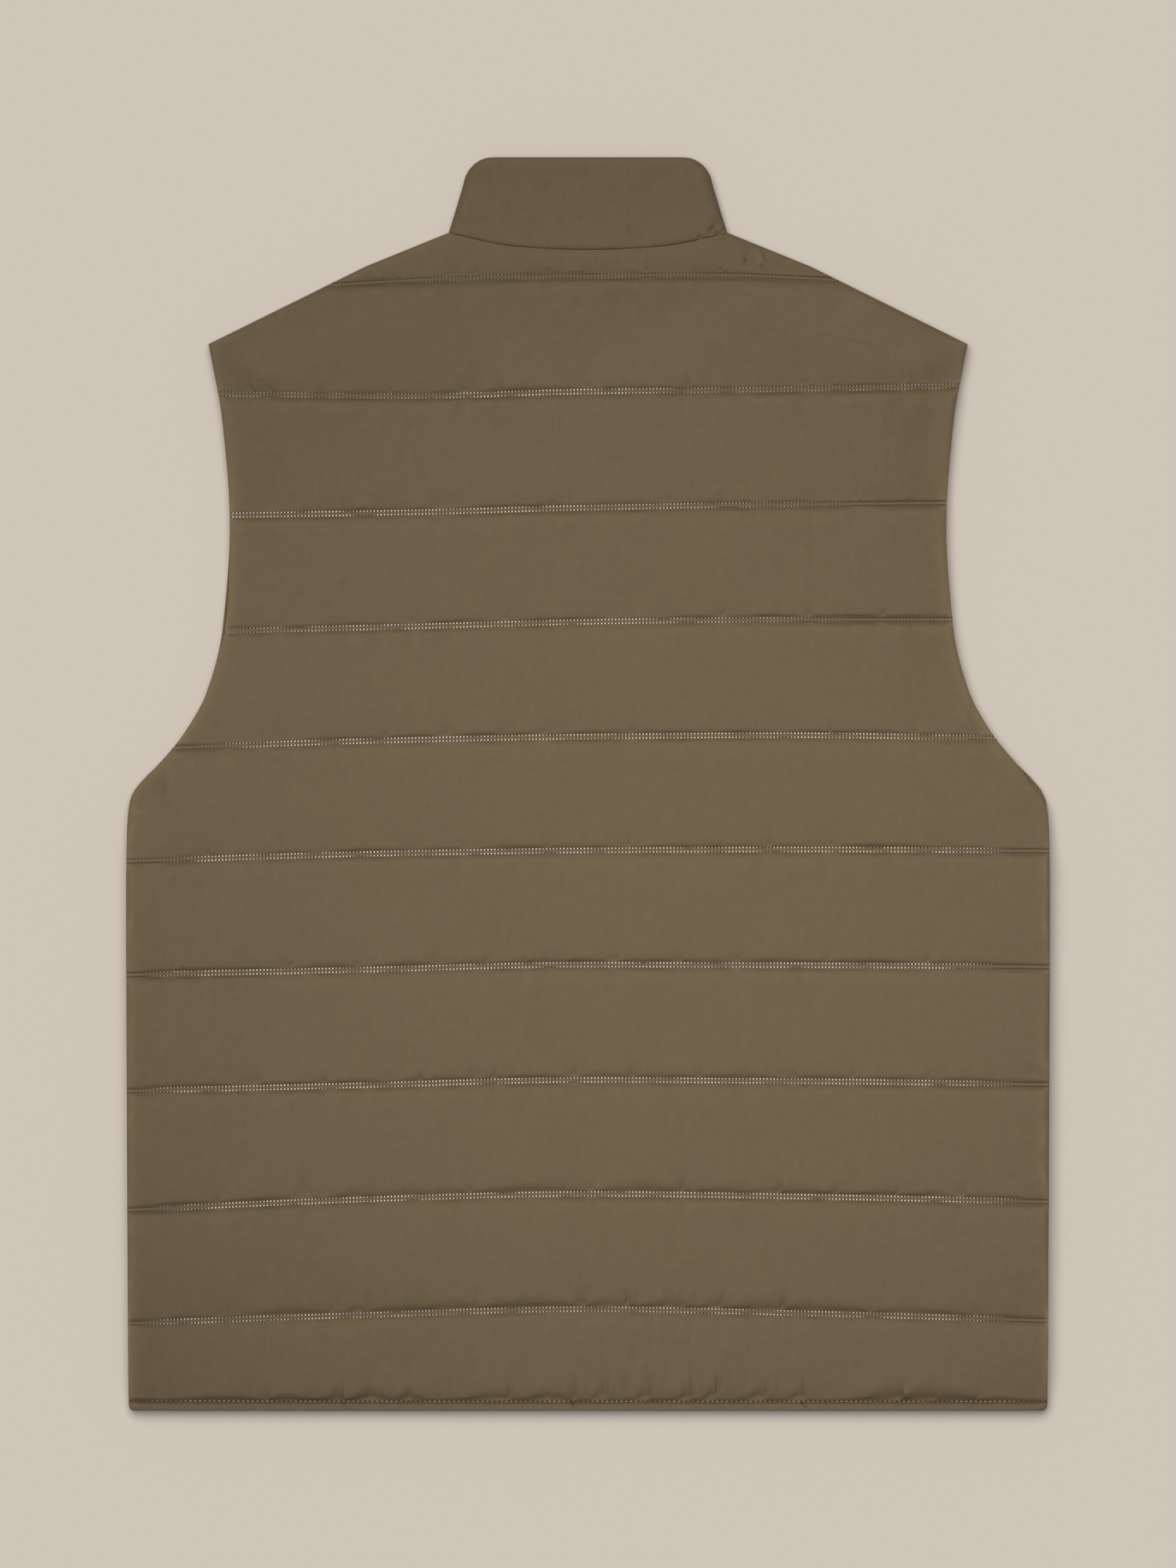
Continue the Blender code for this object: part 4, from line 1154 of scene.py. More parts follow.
def taffeta(name):
    """Olive brown polyester taffeta: a fine plain weave, a faint sheen, slubs, uneven dye, and
    painted light and shade.
    """
    finish, tree, shader, where = fresh_finish(name)
    clouds = sums(tree, "MULTIPLY_ADD", noise(tree, where, 16.0, 3.0, 0.55), 2.0, -0.5, True)
    tone = mixed(tree, clouds, OLIVE_GREEN, OLIVE_WARM)
    mottle = noise(tree, where, 150.0, 4.0, 0.6)
    # A painted pool of light: the colour darkens with the square of the distance from its middle
    gone = add_node(tree, "ShaderNodeVectorMath", {1: LIGHT_POOL_CENTRE}, operation="SUBTRACT")
    tree.links.new(where, gone.inputs[0])
    squared = add_node(tree, "ShaderNodeVectorMath", operation="DOT_PRODUCT")
    wire(tree, squared, ((0, gone.outputs[0]), (1, gone.outputs[0])))
    painted_light_and_slubs = sums(tree, "MULTIPLY_ADD", squared.outputs["Value"], -LIGHT_POOL_LOSS, LIGHT_POOL_MOST)
    # Painted highlights along edges, armholes, hem and folds, and painted shade on the right shoulder
    # and hem crease
    painted_lightness = add_node(tree, "ShaderNodeAttribute", attribute_name="painted_lightness").outputs["Fac"]
    painted_light_and_slubs = sums(tree, "MULTIPLY_ADD", painted_lightness, PAINTED_LIGHT_GAIN, painted_light_and_slubs)
    drawn = add_node(tree, "ShaderNodeMapping", {"Scale": SLUB_STRETCH})
    tree.links.new(where, drawn.inputs["Vector"])
    slubs = noise(tree, drawn.outputs[0], 420.0, 3.0, 0.6)
    painted_light_and_slubs = sums(tree, "MULTIPLY_ADD", slubs, SLUB_PALER, painted_light_and_slubs)
    tone = shaded(tree, tone, sums(tree, "MULTIPLY_ADD", mottle, 0.2, painted_light_and_slubs))
    holes_and_shade = needle_holes_and_shade(tree)
    threads = bumped(tree, weave(tree, where, THREAD_SPACING), 0.00003, 0.5)
    rumple = bumped(tree, noise(tree, where, 260.0, 5.0), 0.0005, 0.35, threads)
    sunk = sums(tree, "SUBTRACT", 1.0, holes_and_shade)
    looks = {
        "Base Color": mixed(tree, holes_and_shade, tone, HOLE_SHADE_BROWN),
        "Roughness": sums(tree, "MULTIPLY_ADD", mottle, 0.1, 0.62),
        "Normal": bumped(tree, sunk, 0.0003, 0.7, rumple),
        "Sheen Weight": 0.15,
        "Sheen Roughness": 0.25,
        "Sheen Tint": (1.0, 0.85, 0.6, 1.0),
        "Specular IOR Level": 0.12,
    }
    wire(tree, shader, looks.items())
    return finish


SHELL_CLOTH = taffeta("olive_taffeta")


def add_piece(name, mesh, finish, body="vest"):
    """Puts a finished mesh in the scene, to move with a body of the vest."""
    made = bpy.data.objects.new(name, mesh)
    made.data.materials.append(finish)
    bpy.context.scene.collection.objects.link(made)
    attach(made, body)
    return made


back_rows = fine_rows(1)
back_grids = [np.array(part) for part in zip(*[back_row(row) for row in back_rows])]
back_mesh = padded_wall("back_cloth", *back_grids, sparse=[row.sparse for row in back_rows])
back_cloth = add_piece("back_cloth", back_mesh, SHELL_CLOTH)
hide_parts("back_panel")


# ---- Quilting and hem stitches of the back -------------------------------------------------------
# Each line of quilting is two rows of cream polyester thread, sewn through both faces by a machine
# with two needles. Every stitch lies half sunk in the cloth; where it is drawn in deep, its thread
# is painted dark as shade, with the painted shade of its hole round it. A single row of longer tan
# stitches holds the turned hem.

STITCH_SIZE = (1.2, 1.05)  # length and width
STITCH_LIFT = 0.42
STITCH_SUNK = 0.45  # a sunk stitch lifts by this share
STITCH_TO_EDGE = 1.4
HEM_STITCH_SIZE = (1.5, 0.8)
HEM_STITCH_LIFT = 0.34
HEM_STITCH_TO_EDGE = 4.5
CREAM = (0.84, 0.78, 0.64, 1.0)
# sunk thread is painted this dark, as the shade it lies in
THREAD_IN_SHADE = (0.095, 0.070, 0.040, 1.0)

# How far a line's thread shows: fully between from_x and to_x, fading out over the ramps beside them
Thread = namedtuple("Thread", "line from_x to_x ramp shows")
BACK_THREADS = (
    Thread("hem_stitch", -262.0, 262.0, 12.0, 0.28),
    Thread("quilting_1", -246.0, 232.0, 30.0, 0.70),
    Thread("quilting_2", -226.0, 226.0, 45.0, 1.00),
    Thread("quilting_3", -236.0, 222.0, 42.0, 1.00),
    Thread("quilting_4", -236.0, 216.0, 38.0, 0.95),
    Thread("quilting_5", -226.0, 222.0, 40.0, 0.98),
    Thread("quilting_6", -176.0, 192.0, 70.0, 1.00),
    Thread("quilting_7", -104.0, 10.0, 160.0, 1.00),
    Thread("quilting_8", -196.0, -10.0, 180.0, 0.95),
    Thread("quilting_9", -66.0, 20.0, 60.0, 0.95),
    Thread("quilting_9", -222.0, 222.0, 14.0, 0.36),
    Thread("quilting_10", -104.0, 58.0, 25.0, 0.16),
)
GRAIN_RINGS = ((-0.3, 0.85), (0.0, 1.0), (0.3, 0.85))  # place along a stitch, and its thickness there
GRAIN_SIDES = 5
# The thread stands clear of the cloth in groups of stitches: by so much, by so much more or less
# from group to group, and from one stitch to the next
SHOW_GROUPS = wander(17, 14.0, 60.0)
GROUP_SHOWS = 0.82
GROUP_SWING = 0.42
STITCH_SWING = 0.1
HEM_GROUP_SHOWS = 0.9
HEM_GROUP_SWING = 0.4


def thread_shows(line, x):
    """How far the thread of a line shows at places along it, from 0 to 1."""
    shows = np.zeros_like(x)
    for row in BACK_THREADS:
        if row.line == line:
            beyond = np.maximum(np.maximum(row.from_x - x, x - row.to_x), 0)
            shows = np.maximum(shows, row.shows * np.clip(1 - beyond / row.ramp, 0, 1))
    return shows


def grains(name, middles, along, up, length, width, lifts, shows):
    """Stitches as half-sunk grains of thread, joined in one mesh. Sizes are in millimetres."""
    across = np.cross(up, along)
    points = [middles - along * length / 2]
    for share, size in GRAIN_RINGS:
        for side in range(GRAIN_SIDES):
            turn = 2 * math.pi * side / GRAIN_SIDES + math.pi / 2
            beside = across * (math.cos(turn) * width / 2 * size)
            above = up * (math.sin(turn) * lifts * size)[:, None]
            points.append(middles + along * (share * length) + beside + above)
    points.append(middles + along * length / 2)
    each = len(points)
    points = np.stack(points, 1).reshape(-1, 3)
    shape = []
    for side in range(GRAIN_SIDES):
        after = (side + 1) % GRAIN_SIDES
        shape.append((0, 1 + side, 1 + after))
        last = 1 + (len(GRAIN_RINGS) - 1) * GRAIN_SIDES
        shape.append((each - 1, last + after, last + side))
        for ring in range(len(GRAIN_RINGS) - 1):
            low = 1 + ring * GRAIN_SIDES
            high = low + GRAIN_SIDES
            shape.append((low + side, high + side, high + after, low + after))
    faces = []
    for first in range(0, each * len(middles), each):
        faces += [[first + corner for corner in face] for face in shape]
    mesh = bpy.data.meshes.new(name)
    mesh.from_pydata(place(points).tolist(), [], faces)
    note_on_points(mesh, "thread_shows", np.repeat(shows, each))
    face_outwards(mesh)
    mesh.shade_smooth()
    return mesh


def thread_finish(name):
    """Spun polyester thread: cream where it stands clear of the cloth, painted dark as shade where it
    is sunk.
    """
    finish, tree, shader, where = fresh_finish(name)
    shows = add_node(tree, "ShaderNodeAttribute", attribute_name="thread_shows").outputs["Fac"]
    fibres = noise(tree, where, 2600.0, 2.0)
    colour = mixed(tree, shows, THREAD_IN_SHADE, CREAM)
    looks = {
        "Base Color": shaded(tree, colour, sums(tree, "MULTIPLY_ADD", fibres, 0.3, 0.85)),
        "Roughness": sums(tree, "MULTIPLY_ADD", fibres, 0.2, 0.5),
        "Normal": bumped(tree, fibres, 0.0001, 0.4),
        "Specular IOR Level": 0.3,
    }
    wire(tree, shader, looks.items())
    return finish


THREAD = thread_finish("polyester_thread")


def unit(vectors):
    return vectors / np.linalg.norm(vectors, axis=-1, keepdims=True)


def stitch_line(face_row, row, x, offset):
    """Middles and directions of stitches at places along a line, on the outer face of a panel."""
    middles = face_row(row, x, offset)[0]
    ahead = face_row(row, x + 0.5, offset)[0]
    return middles, unit(ahead - middles)


def course_row(index):
    """The mesh row that runs along a course's stitching."""
    below, above = stitched_before(index), stitched_after(index + 1)
    return Row(COURSES[index], COURSES[index + 1], 0.0, below, above, False)


def stitch_places(index, pitch, to_edge):
    """x of a back line's stitches, a whole number of pitches from the middle."""
    ends = [float(course_height(COURSES[index], side)) for side in (-1, 1)]
    low = -float(half_width(ends[0])) + to_edge * slant(ends[0])
    high = float(half_width(ends[1])) - to_edge * slant(ends[1])
    return np.arange(math.ceil(low / pitch), math.floor(high / pitch) + 1) * pitch


def sewn(name, middles, along, up, size, lifts, shows):
    """Stitches as a piece of the vest."""
    made = add_piece(name, grains(name, middles, along, up, *size, lifts, shows), THREAD)
    return made


UP = np.array([0.0, 0.0, 1.0])
UNEVEN = np.random.default_rng(23)
middles, directions, shows = [], [], []
for index, course in enumerate(COURSES):
    if course.name.startswith("quilting"):
        for offset in (-STITCH_ROW_HALF, STITCH_ROW_HALF):
            x = stitch_places(index, STITCH_PITCH, STITCH_TO_EDGE)
            points, along = stitch_line(back_row, course_row(index), x, offset)
            groups = GROUP_SHOWS + GROUP_SWING * SHOW_GROUPS(x, course.middle * 7 + offset * 4)
            groups += UNEVEN.normal(0, STITCH_SWING, len(x))
            middles.append(points)
            directions.append(along)
            shows.append(thread_shows(course.name, x) * np.clip(groups, 0.15, 1.2))
shows = np.clip(np.concatenate(shows), 0, 1)
back_quilting = sewn(
    "back_quilting_stitches",
    np.concatenate(middles),
    np.concatenate(directions),
    UP,
    STITCH_SIZE,
    STITCH_LIFT * (STITCH_SUNK + (1 - STITCH_SUNK) * shows),
    shows,
)

x = stitch_places(1, HEM_PITCH, HEM_STITCH_TO_EDGE)
points, along = stitch_line(back_row, course_row(1), x, 0.0)
groups = HEM_GROUP_SHOWS + HEM_GROUP_SWING * SHOW_GROUPS(x, 0.0)
hem_shows = thread_shows("hem_stitch", x) * np.clip(groups, 0.3, 1.3)
lifts = np.full(len(x), HEM_STITCH_LIFT)
back_hem = sewn("back_hem_stitches", points, along, UP, HEM_STITCH_SIZE, lifts, hem_shows)


# ---- Fronts --------------------------------------------------------------------------------------
# The two fronts are padded panels like the back, sewn to it at the sides and shoulders. They lie
# face down, so their channels are pressed flat on the surface, with a groove at each line of
# quilting. Each has a straight edge beside the zip and a neckline cut away for the collar.

FRONT_EDGE_X = 7.5  # half of the slot between the two front edges
FRONT_EDGE_WALL = 2.5
FRONT_GROOVE = 4.0
FLAT_SHARE = 0.8  # a channel is flat where it would rise past this share of its height
PUFF_POWER = 2.6
PUFF_SHARPNESS = 0.75
PUFF_DRAWN_IN = 0.45  # the share of a channel's rise that a pull takes away
PUFF_DRAWN_REACH = 9.0
FRONT_PULL_DEPTH = 0.22  # a pull's fold is pressed flat too, and keeps this share of its depth
# painted highlight along the fronts' outer edges
FRONT_PAINTED_LIGHT = 0.5
FRONT_EDGE_ROUND = 9.0
TAPE_RECESS = 1.75  # how far a front's inside drops where a tape is sewn on
TAPE_RECESS_END = 18.0
FULL_WALL_X = 24.0
FRONT_EDGE_COLUMNS = (7.5, 7.9, 8.6, 9.6, 11.0, 13.0, 15.5, TAPE_RECESS_END, 21.0, FULL_WALL_X)
FRONT_COLUMNS = 62  # between those and the columns of the outer edge
INSIDE_KEPT_AS_IN_ROW = 40  # the row by which the inside's columns are chosen
FRONT_STITCHES_FROM = 10.0
FRONT_STITCH_TO_EDGE = 2.0
FRONT_STITCH_TO_NECK = 1.5
FRONT_STITCH_LIFT = 0.8 * STITCH_LIFT
FRONT_GROUP_SHOWS = 0.55
FRONT_GROUP_SWING = 0.3
ARMHOLE_STITCH_PITCH = 2.7
ARMHOLE_STITCH_SIZE = (1.5, 0.6)
ARMHOLE_STITCH_LIFT = 0.2
ARMHOLE_STITCH_TO_EDGE = 0.9
ARMHOLE_HEIGHTS = (378.0, 655.0)
FRONT_PULLS_BETWEEN = (30.0, 270.0)
FRONT_PULL_GAPS = (18, 48)
FRONT_PULL_REACHES = (4, 18)


def front_pulls(seed):
    """Pulls along a front's lines, like the back's, at uneven places."""
    random = np.random.default_rng(seed)
    pulls = {}
    for course in COURSES:
        places = []
        x = FRONT_PULLS_BETWEEN[0] + random.uniform(0, 25)
        while course.name.startswith("quilting") and x < FRONT_PULLS_BETWEEN[1]:
            reach = float(np.clip(random.gamma(2.0, 4.0), *FRONT_PULL_REACHES))
            places.append(Pull(x, reach, random.uniform(-0.2, 0.5) * reach))
            x += random.uniform(*FRONT_PULL_GAPS)
        pulls[course.name] = tuple(places)
    return pulls


def recess(x):
    """How far the fronts' inside drops beside the zip, to take its tapes."""
    return TAPE_RECESS * np.interp(np.abs(x), [TAPE_RECESS_END, FULL_WALL_X], [1.0, 0.0])


def front_columns(edge, edge_slant):
    outer = [edge - step * edge_slant for step in EDGE_STEPS][::-1]
    middle = np.linspace(FULL_WALL_X, outer[0], FRONT_COLUMNS + 1)[1:-1].tolist()
    return np.array(list(FRONT_EDGE_COLUMNS) + middle + outer)


def front_face(side, pulls):
    """A function that gives a front's outer face and inside along a row, face down."""

    def read(row, x=None, offset=0.0):
        ends = [float(row_height(row, s)) for s in (-1, 1)]
        edges = [float(half_width(h)) for h in ends]
        own = 0 if side < 0 else 1
        edge_slant = slant(ends[own])
        if x is None:
            x = front_columns(edges[own], edge_slant)
        across = np.clip(2 * (side * x + edges[0]) / (edges[0] + edges[1]) - 1, -1, 1)
        height = row_height(row, across) + offset
        level = meeting_level(x, height)
        inside = level - recess(x)
        side_round = quarter_round((edges[own] - x) / edge_slant, FRONT_EDGE_ROUND)
        if row.lower is COURSES[0]:
            side_round = np.minimum(side_round, quarter_round(height, HEM_ROUND))
        front_round = quarter_round(x - FRONT_EDGE_X, FRONT_EDGE_ROUND)
        flat = np.zeros_like(x)
        if row.below is not None:
            below, above = line_distances(row, across, height)
            share = np.clip(below / (below + above), 0, 1)
            rise = (1 - np.abs(1 - 2 * share) ** PUFF_POWER) ** PUFF_SHARPNESS
            drawn = np.zeros_like(x)
            folds = np.zeros_like(x)
            for course, away, reach in ((row.below, below, 1.0), (row.above, above, PULL_BELOW)):
                near = np.exp(-np.clip(away, 0, None) / PUFF_DRAWN_REACH)
                drawn += drawn_in(pulls[course.name], x) * near
                folds += pull_folds(pulls[course.name], x, away, reach)
            flat = np.minimum(rise * (1 - PUFF_DRAWN_IN * np.minimum(drawn, 1)) / FLAT_SHARE, 1)
            flat = flat - FRONT_PULL_DEPTH * np.clip(folds, 0, None) * np.clip(2 * rise, 0, 1)
        stitched = np.minimum(np.maximum(inside - FRONT_GROOVE, STITCH_WALL), inside)
        full = stitched + (inside - stitched) * np.clip(flat, 0, 1)
        wall = EDGE_WALL + (full - EDGE_WALL) * side_round
        edge_wall = np.minimum(FRONT_EDGE_WALL, inside)
        wall = np.minimum(wall, edge_wall + (inside - edge_wall) * front_round)
        outer = np.stack([side * x, height, inside - wall], -1)
        inner = np.stack([side * x, height, inside], -1)
        painted_light = FRONT_PAINTED_LIGHT * np.exp((x - edges[own]) / PAINTED_LIGHT_REACH)
        return outer, inner, from_thread(row, across, height), painted_light

    return read


CUTTER_TOP = 790.0  # past the collar's top edge
CUTTER_LEVELS = (-5.0, 25.0)


def neck_cutter():
    """A prism over the neck opening. It cuts the fronts back to the collar's seam."""
    right = [(x, float(front_neck(x))) for x in np.linspace(0.0, NECK_HALF, 30)]
    outline = [(-x, h) for x, h in reversed(right[1:])] + right
    outline += [(NECK_HALF, CUTTER_TOP), (-NECK_HALF, CUTTER_TOP)]
    shaper = bmesh.new()
    low = [shaper.verts.new(place([x, h, CUTTER_LEVELS[0]])) for x, h in outline]
    face = shaper.faces.new(low)
    grown = bmesh.ops.extrude_face_region(shaper, geom=[face])["geom"]
    lifted = [v for v in grown if isinstance(v, bmesh.types.BMVert)]
    rise = (CUTTER_LEVELS[1] - CUTTER_LEVELS[0]) * MM
    bmesh.ops.translate(shaper, verts=lifted, vec=(0.0, 0.0, rise))
    bmesh.ops.recalc_face_normals(shaper, faces=shaper.faces)
    mesh = bpy.data.meshes.new("neck_cutter")
    shaper.to_mesh(mesh)
    shaper.free()
    cutter = bpy.data.objects.new("neck_cutter", mesh)
    bpy.context.scene.collection.objects.link(cutter)
    return cutter


def cut_neckline(mesh, cutter):
    """The mesh with the neck opening cut out of it."""
    blank = bpy.data.objects.new("blank", mesh)
    bpy.context.scene.collection.objects.link(blank)
    cut = blank.modifiers.new("neckline", "BOOLEAN")
    cut.operation = "DIFFERENCE"
    cut.object = cutter
    cut.solver = "EXACT"
    bpy.context.view_layer.update()
    graph = bpy.context.evaluated_depsgraph_get()
    made = bpy.data.meshes.new_from_object(blank.evaluated_get(graph))
    bpy.data.objects.remove(blank)
    made.shade_smooth()
    made.set_sharp_from_angle(angle=SHARP_EDGE)
    return made


def armhole_stitches(side):
    """Places and directions of the edge stitching round an armhole, on a front's inside."""
    heights = [ARMHOLE_HEIGHTS[0]]
    while heights[-1] < ARMHOLE_HEIGHTS[1]:
        slope = float(half_width(heights[-1] + 0.5) - half_width(heights[-1] - 0.5))
        heights.append(heights[-1] + ARMHOLE_STITCH_PITCH / math.sqrt(1 + slope**2))
    heights = np.array(heights)
    slants = np.array([slant(h) for h in heights])
    x = half_width(heights) - ARMHOLE_STITCH_TO_EDGE * slants
    points = np.stack([side * x, heights, meeting_level(x, heights)], -1)
    return points, unit(np.gradient(points, axis=0))


cutter = neck_cutter()
for side, name in ((-1, "front_left"), (1, "front_right")):
    face_row = front_face(side, front_pulls(23 + side))
    grids = [np.array(part) for part in zip(*[face_row(row) for row in fine_rows(2)])]
    recess_ends = [FRONT_EDGE_COLUMNS.index(x) for x in (TAPE_RECESS_END, FULL_WALL_X)]
    kept = spread_out(grids[0][INSIDE_KEPT_AS_IN_ROW, :, 0], INSIDE_COLUMN_GAP, recess_ends)
    wall = cut_neckline(padded_wall(name, *grids, kept), cutter)
    front = add_piece(name + "_cloth", wall, SHELL_CLOTH)
    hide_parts(name)

    middles, directions = [], []
    for index, course in enumerate(COURSES):
        if not course.stitched or course is COURSES[-1]:
            continue
        quilted = course.name.startswith("quilting")
        pitch = STITCH_PITCH if quilted else HEM_PITCH
        end = float(course_height(course, side))
        last = float(half_width(end)) - FRONT_STITCH_TO_EDGE * slant(end)
        x = np.arange(math.ceil(FRONT_STITCHES_FROM / pitch), math.floor(last / pitch) + 1) * pitch
        for offset in (-STITCH_ROW_HALF, STITCH_ROW_HALF) if quilted else (0.0,):
            points, along = stitch_line(face_row, course_row(index), x, offset)
            outside_neck = points[:, 1] < front_neck(x) - FRONT_STITCH_TO_NECK
            outside_neck |= x > NECK_HALF
            middles.append(points[outside_neck])
            directions.append(along[outside_neck])
    middles = np.concatenate(middles)
    shows = FRONT_GROUP_SHOWS + FRONT_GROUP_SWING * SHOW_GROUPS(middles[:, 0], middles[:, 1] * 3)
    quilting = sewn(
        name + "_stitches",
        middles,
        np.concatenate(directions),
        -UP,
        STITCH_SIZE,
        np.full(len(middles), FRONT_STITCH_LIFT),
        np.clip(shows, 0.1, 1.0),
    )

    points, along = armhole_stitches(side)
    armhole = sewn(
        name + "_armhole_stitches",
        points,
        along,
        UP,
        ARMHOLE_STITCH_SIZE,
        np.full(len(points), ARMHOLE_STITCH_LIFT),
        np.zeros(len(points)),
    )
bpy.data.objects.remove(cutter)


# ---- Collar --------------------------------------------------------------------------------------
# The stand-up collar is one lightly padded band of the same cloth, sewn all round the neck and folded
# flat at both sides. Its back half lies on its front half, and a few short creases cross it where
# the seam pulls at its right end.

COLLAR_FRONT_TOP = 740.0
COLLAR_FRONT_TOP_POWER = 2.5
COLLAR_BACK_WALL = 5.6
COLLAR_SEAM_WALL = 3.0
COLLAR_BACK_SEAM_WALL = 4.3
COLLAR_TOP_WALL = 2.4
COLLAR_FOLD = 6.5
COLLAR_CORNER_RADIUS = 14.5
COLLAR_SEAM_ROUND = 4.0
COLLAR_TOP_ROUND = 3.5
COLLAR_FOLD_SLIT = 0.4
COLLAR_SEAM = 0.06
COLLAR_OUTLINE = (
    OutlineStation(728.3, 86.3),
    OutlineStation(734.6, 84.3),
    OutlineStation(750.0, 79.6),
    OutlineStation(760.5, 76.6),
    OutlineStation(775.0, 74.0),
)
COLLAR_FOLDS = (
    Fold(75.3, 728.2, 82.3, 735.4, 1.5, 2.5),
    Fold(77.0, 727.4, 83.8, 733.4, 1.2, -0.9),
    Fold(79.0, 726.6, 85.0, 731.6, 1.1, 1.6),
    Fold(69.3, 723.0, 69.6, 727.0, 1.1, 1.8),
    Fold(-76.0, 727.0, -80.0, 738.0, 2.0, 0.7),
    Fold(30.0, 722.0, 26.0, 731.0, 1.8, 0.7),
    Fold(-32.0, 722.0, -34.0, 736.0, 3.2, 0.5),
)
COLLAR_FRONT_COLUMNS = 18
COLLAR_BACK_COLUMNS = 96
COLLAR_FOLD_ANGLES = (-75.0, -60.0, -45.0, -30.0, -15.0, 0.0, 15.0, 30.0, 45.0, 60.0, 75.0)
COLLAR_SEAM_SHARES = (0.0, 0.008, 0.02, 0.04, 0.065, 0.095, 0.13)
COLLAR_OPEN_SHARES = np.linspace(0.17, 0.67, 13).tolist()
COLLAR_CORNER_ANGLES = (6.0, 14.0, 24.0, 34.0, 45.0, 55.0, 65.0, 74.0, 82.0, 90.0)
COLLAR_EASE = wander(29, 25.0, 70.0)
COLLAR_EASE_DEPTH = 0.3
# painted highlight near the collar's edges
COLLAR_PAINTED_LIGHT = 0.15


def collar_front_top(x):
    """Height of the collar's front top edge, which dips with the seam below it."""
    share = np.clip(np.abs(x) / NECK_HALF, 0, 1)
    return COLLAR_FRONT_TOP + (LENGTH - COLLAR_FRONT_TOP) * share**COLLAR_FRONT_TOP_POWER


def collar_half_columns(half):
    """x of the collar's right half, from the zip round the side fold to the middle of the back.

    Returns the x of each column, and its angle round the fold: -90 on the front, 90 on the back.
    """
    fold = half - COLLAR_FOLD
    front = list(FRONT_EDGE_COLUMNS)
    front += np.linspace(FULL_WALL_X, fold, COLLAR_FRONT_COLUMNS + 1)[1:].tolist()
    turn = [fold + COLLAR_FOLD * math.cos(math.radians(a)) for a in COLLAR_FOLD_ANGLES]
    back = np.linspace(fold, 0.0, COLLAR_BACK_COLUMNS + 1).tolist()
    angles = [-90.0] * len(front) + list(COLLAR_FOLD_ANGLES) + [90.0] * len(back)
    return np.array(front + turn + back), np.array(angles)


def seam_gap(curve, x):
    """The seam's gap measured upwards, where the curve slants."""
    step = 0.5
    slope = (curve(np.abs(x) + step) - curve(np.abs(x) - step)) / (2 * step)
    return COLLAR_SEAM * np.sqrt(1 + slope**2)


def collar_rows():
    """(share of the height, half width) for each row, with the top corners rounded."""
    corner = LENGTH - COLLAR_CORNER_RADIUS
    rows = []
    for share in (*COLLAR_SEAM_SHARES, *COLLAR_OPEN_SHARES):
        height = NECK_HEIGHT + share * (LENGTH - NECK_HEIGHT)
        rows.append((share, float(smooth_through(*zip(*COLLAR_OUTLINE), height))))
    for angle in COLLAR_CORNER_ANGLES:
        height = corner + COLLAR_CORNER_RADIUS * math.sin(math.radians(angle))
        straight = float(smooth_through(*zip(*COLLAR_OUTLINE), height))
        half = straight - COLLAR_CORNER_RADIUS * (1 - math.cos(math.radians(angle)))
        rows.append(((height - NECK_HEIGHT) / (LENGTH - NECK_HEIGHT), half))
    return rows


def collar_half_grids(side):
    """One half of the collar, from the zip round the side to the middle of the back."""
    seam_x, angles = collar_half_columns(NECK_HALF)
    on_front = angles < 0
    seam = np.where(
        on_front,
        front_neck(seam_x) + seam_gap(front_neck, seam_x),
        back_neck(seam_x) + seam_gap(back_neck, seam_x),
    )
    top = np.where(on_front, collar_front_top(seam_x), LENGTH)
    outer, inner, painted_lightness = [], [], []
    for share, half in collar_rows():
        x, _ = collar_half_columns(half)
        height = seam + share * (top - seam)
        fold = half - COLLAR_FOLD
        level_x = np.minimum(x, fold)
        level = meeting_level(level_x, height)
        inside = level - recess(level_x)
        rounded = np.minimum(
            quarter_round(height - seam, COLLAR_SEAM_ROUND),
            quarter_round(top - height, COLLAR_TOP_ROUND),
        )
        thin = COLLAR_SEAM_WALL if share < 0.5 else COLLAR_TOP_WALL
        edge_wall = np.minimum(FRONT_EDGE_WALL, inside)
        front_wall = thin + (inside - thin) * rounded
        front_round = quarter_round(x - FRONT_EDGE_X, FRONT_EDGE_ROUND)
        front_wall = np.minimum(front_wall, edge_wall + (inside - edge_wall) * front_round)
        under = inside - front_wall
        eased = COLLAR_EASE_DEPTH * COLLAR_EASE(side * x, height)
        eased -= large_folds(COLLAR_FOLDS, side * x, height)
        back_wall = COLLAR_BACK_WALL + np.where(angles > 0, eased, 0.0)
        thin = COLLAR_BACK_SEAM_WALL if share < 0.5 else COLLAR_TOP_WALL
        over = level + LAYER_GAP + thin + (back_wall - thin) * rounded
        turn = np.sin(np.radians(angles))
        outer_z = (under + over) / 2 + (over - under) / 2 * turn
        inner_z = np.where(
            np.abs(turn) == 1,
            np.where(turn < 0, inside, level + LAYER_GAP),
            level + LAYER_GAP / 2 * (1 + turn),
        )
        inner_x = level_x + np.where(x > fold, COLLAR_FOLD_SLIT * np.cos(np.radians(angles)), 0)
        outer.append(np.stack([side * x, height, outer_z], -1))
        inner.append(np.stack([side * inner_x, height, inner_z], -1))
        painted_lightness.append(COLLAR_PAINTED_LIGHT * np.exp(-np.minimum(half - x, top - height) / PAINTED_LIGHT_REACH))
    return np.array(outer), np.array(inner), np.array(painted_lightness)


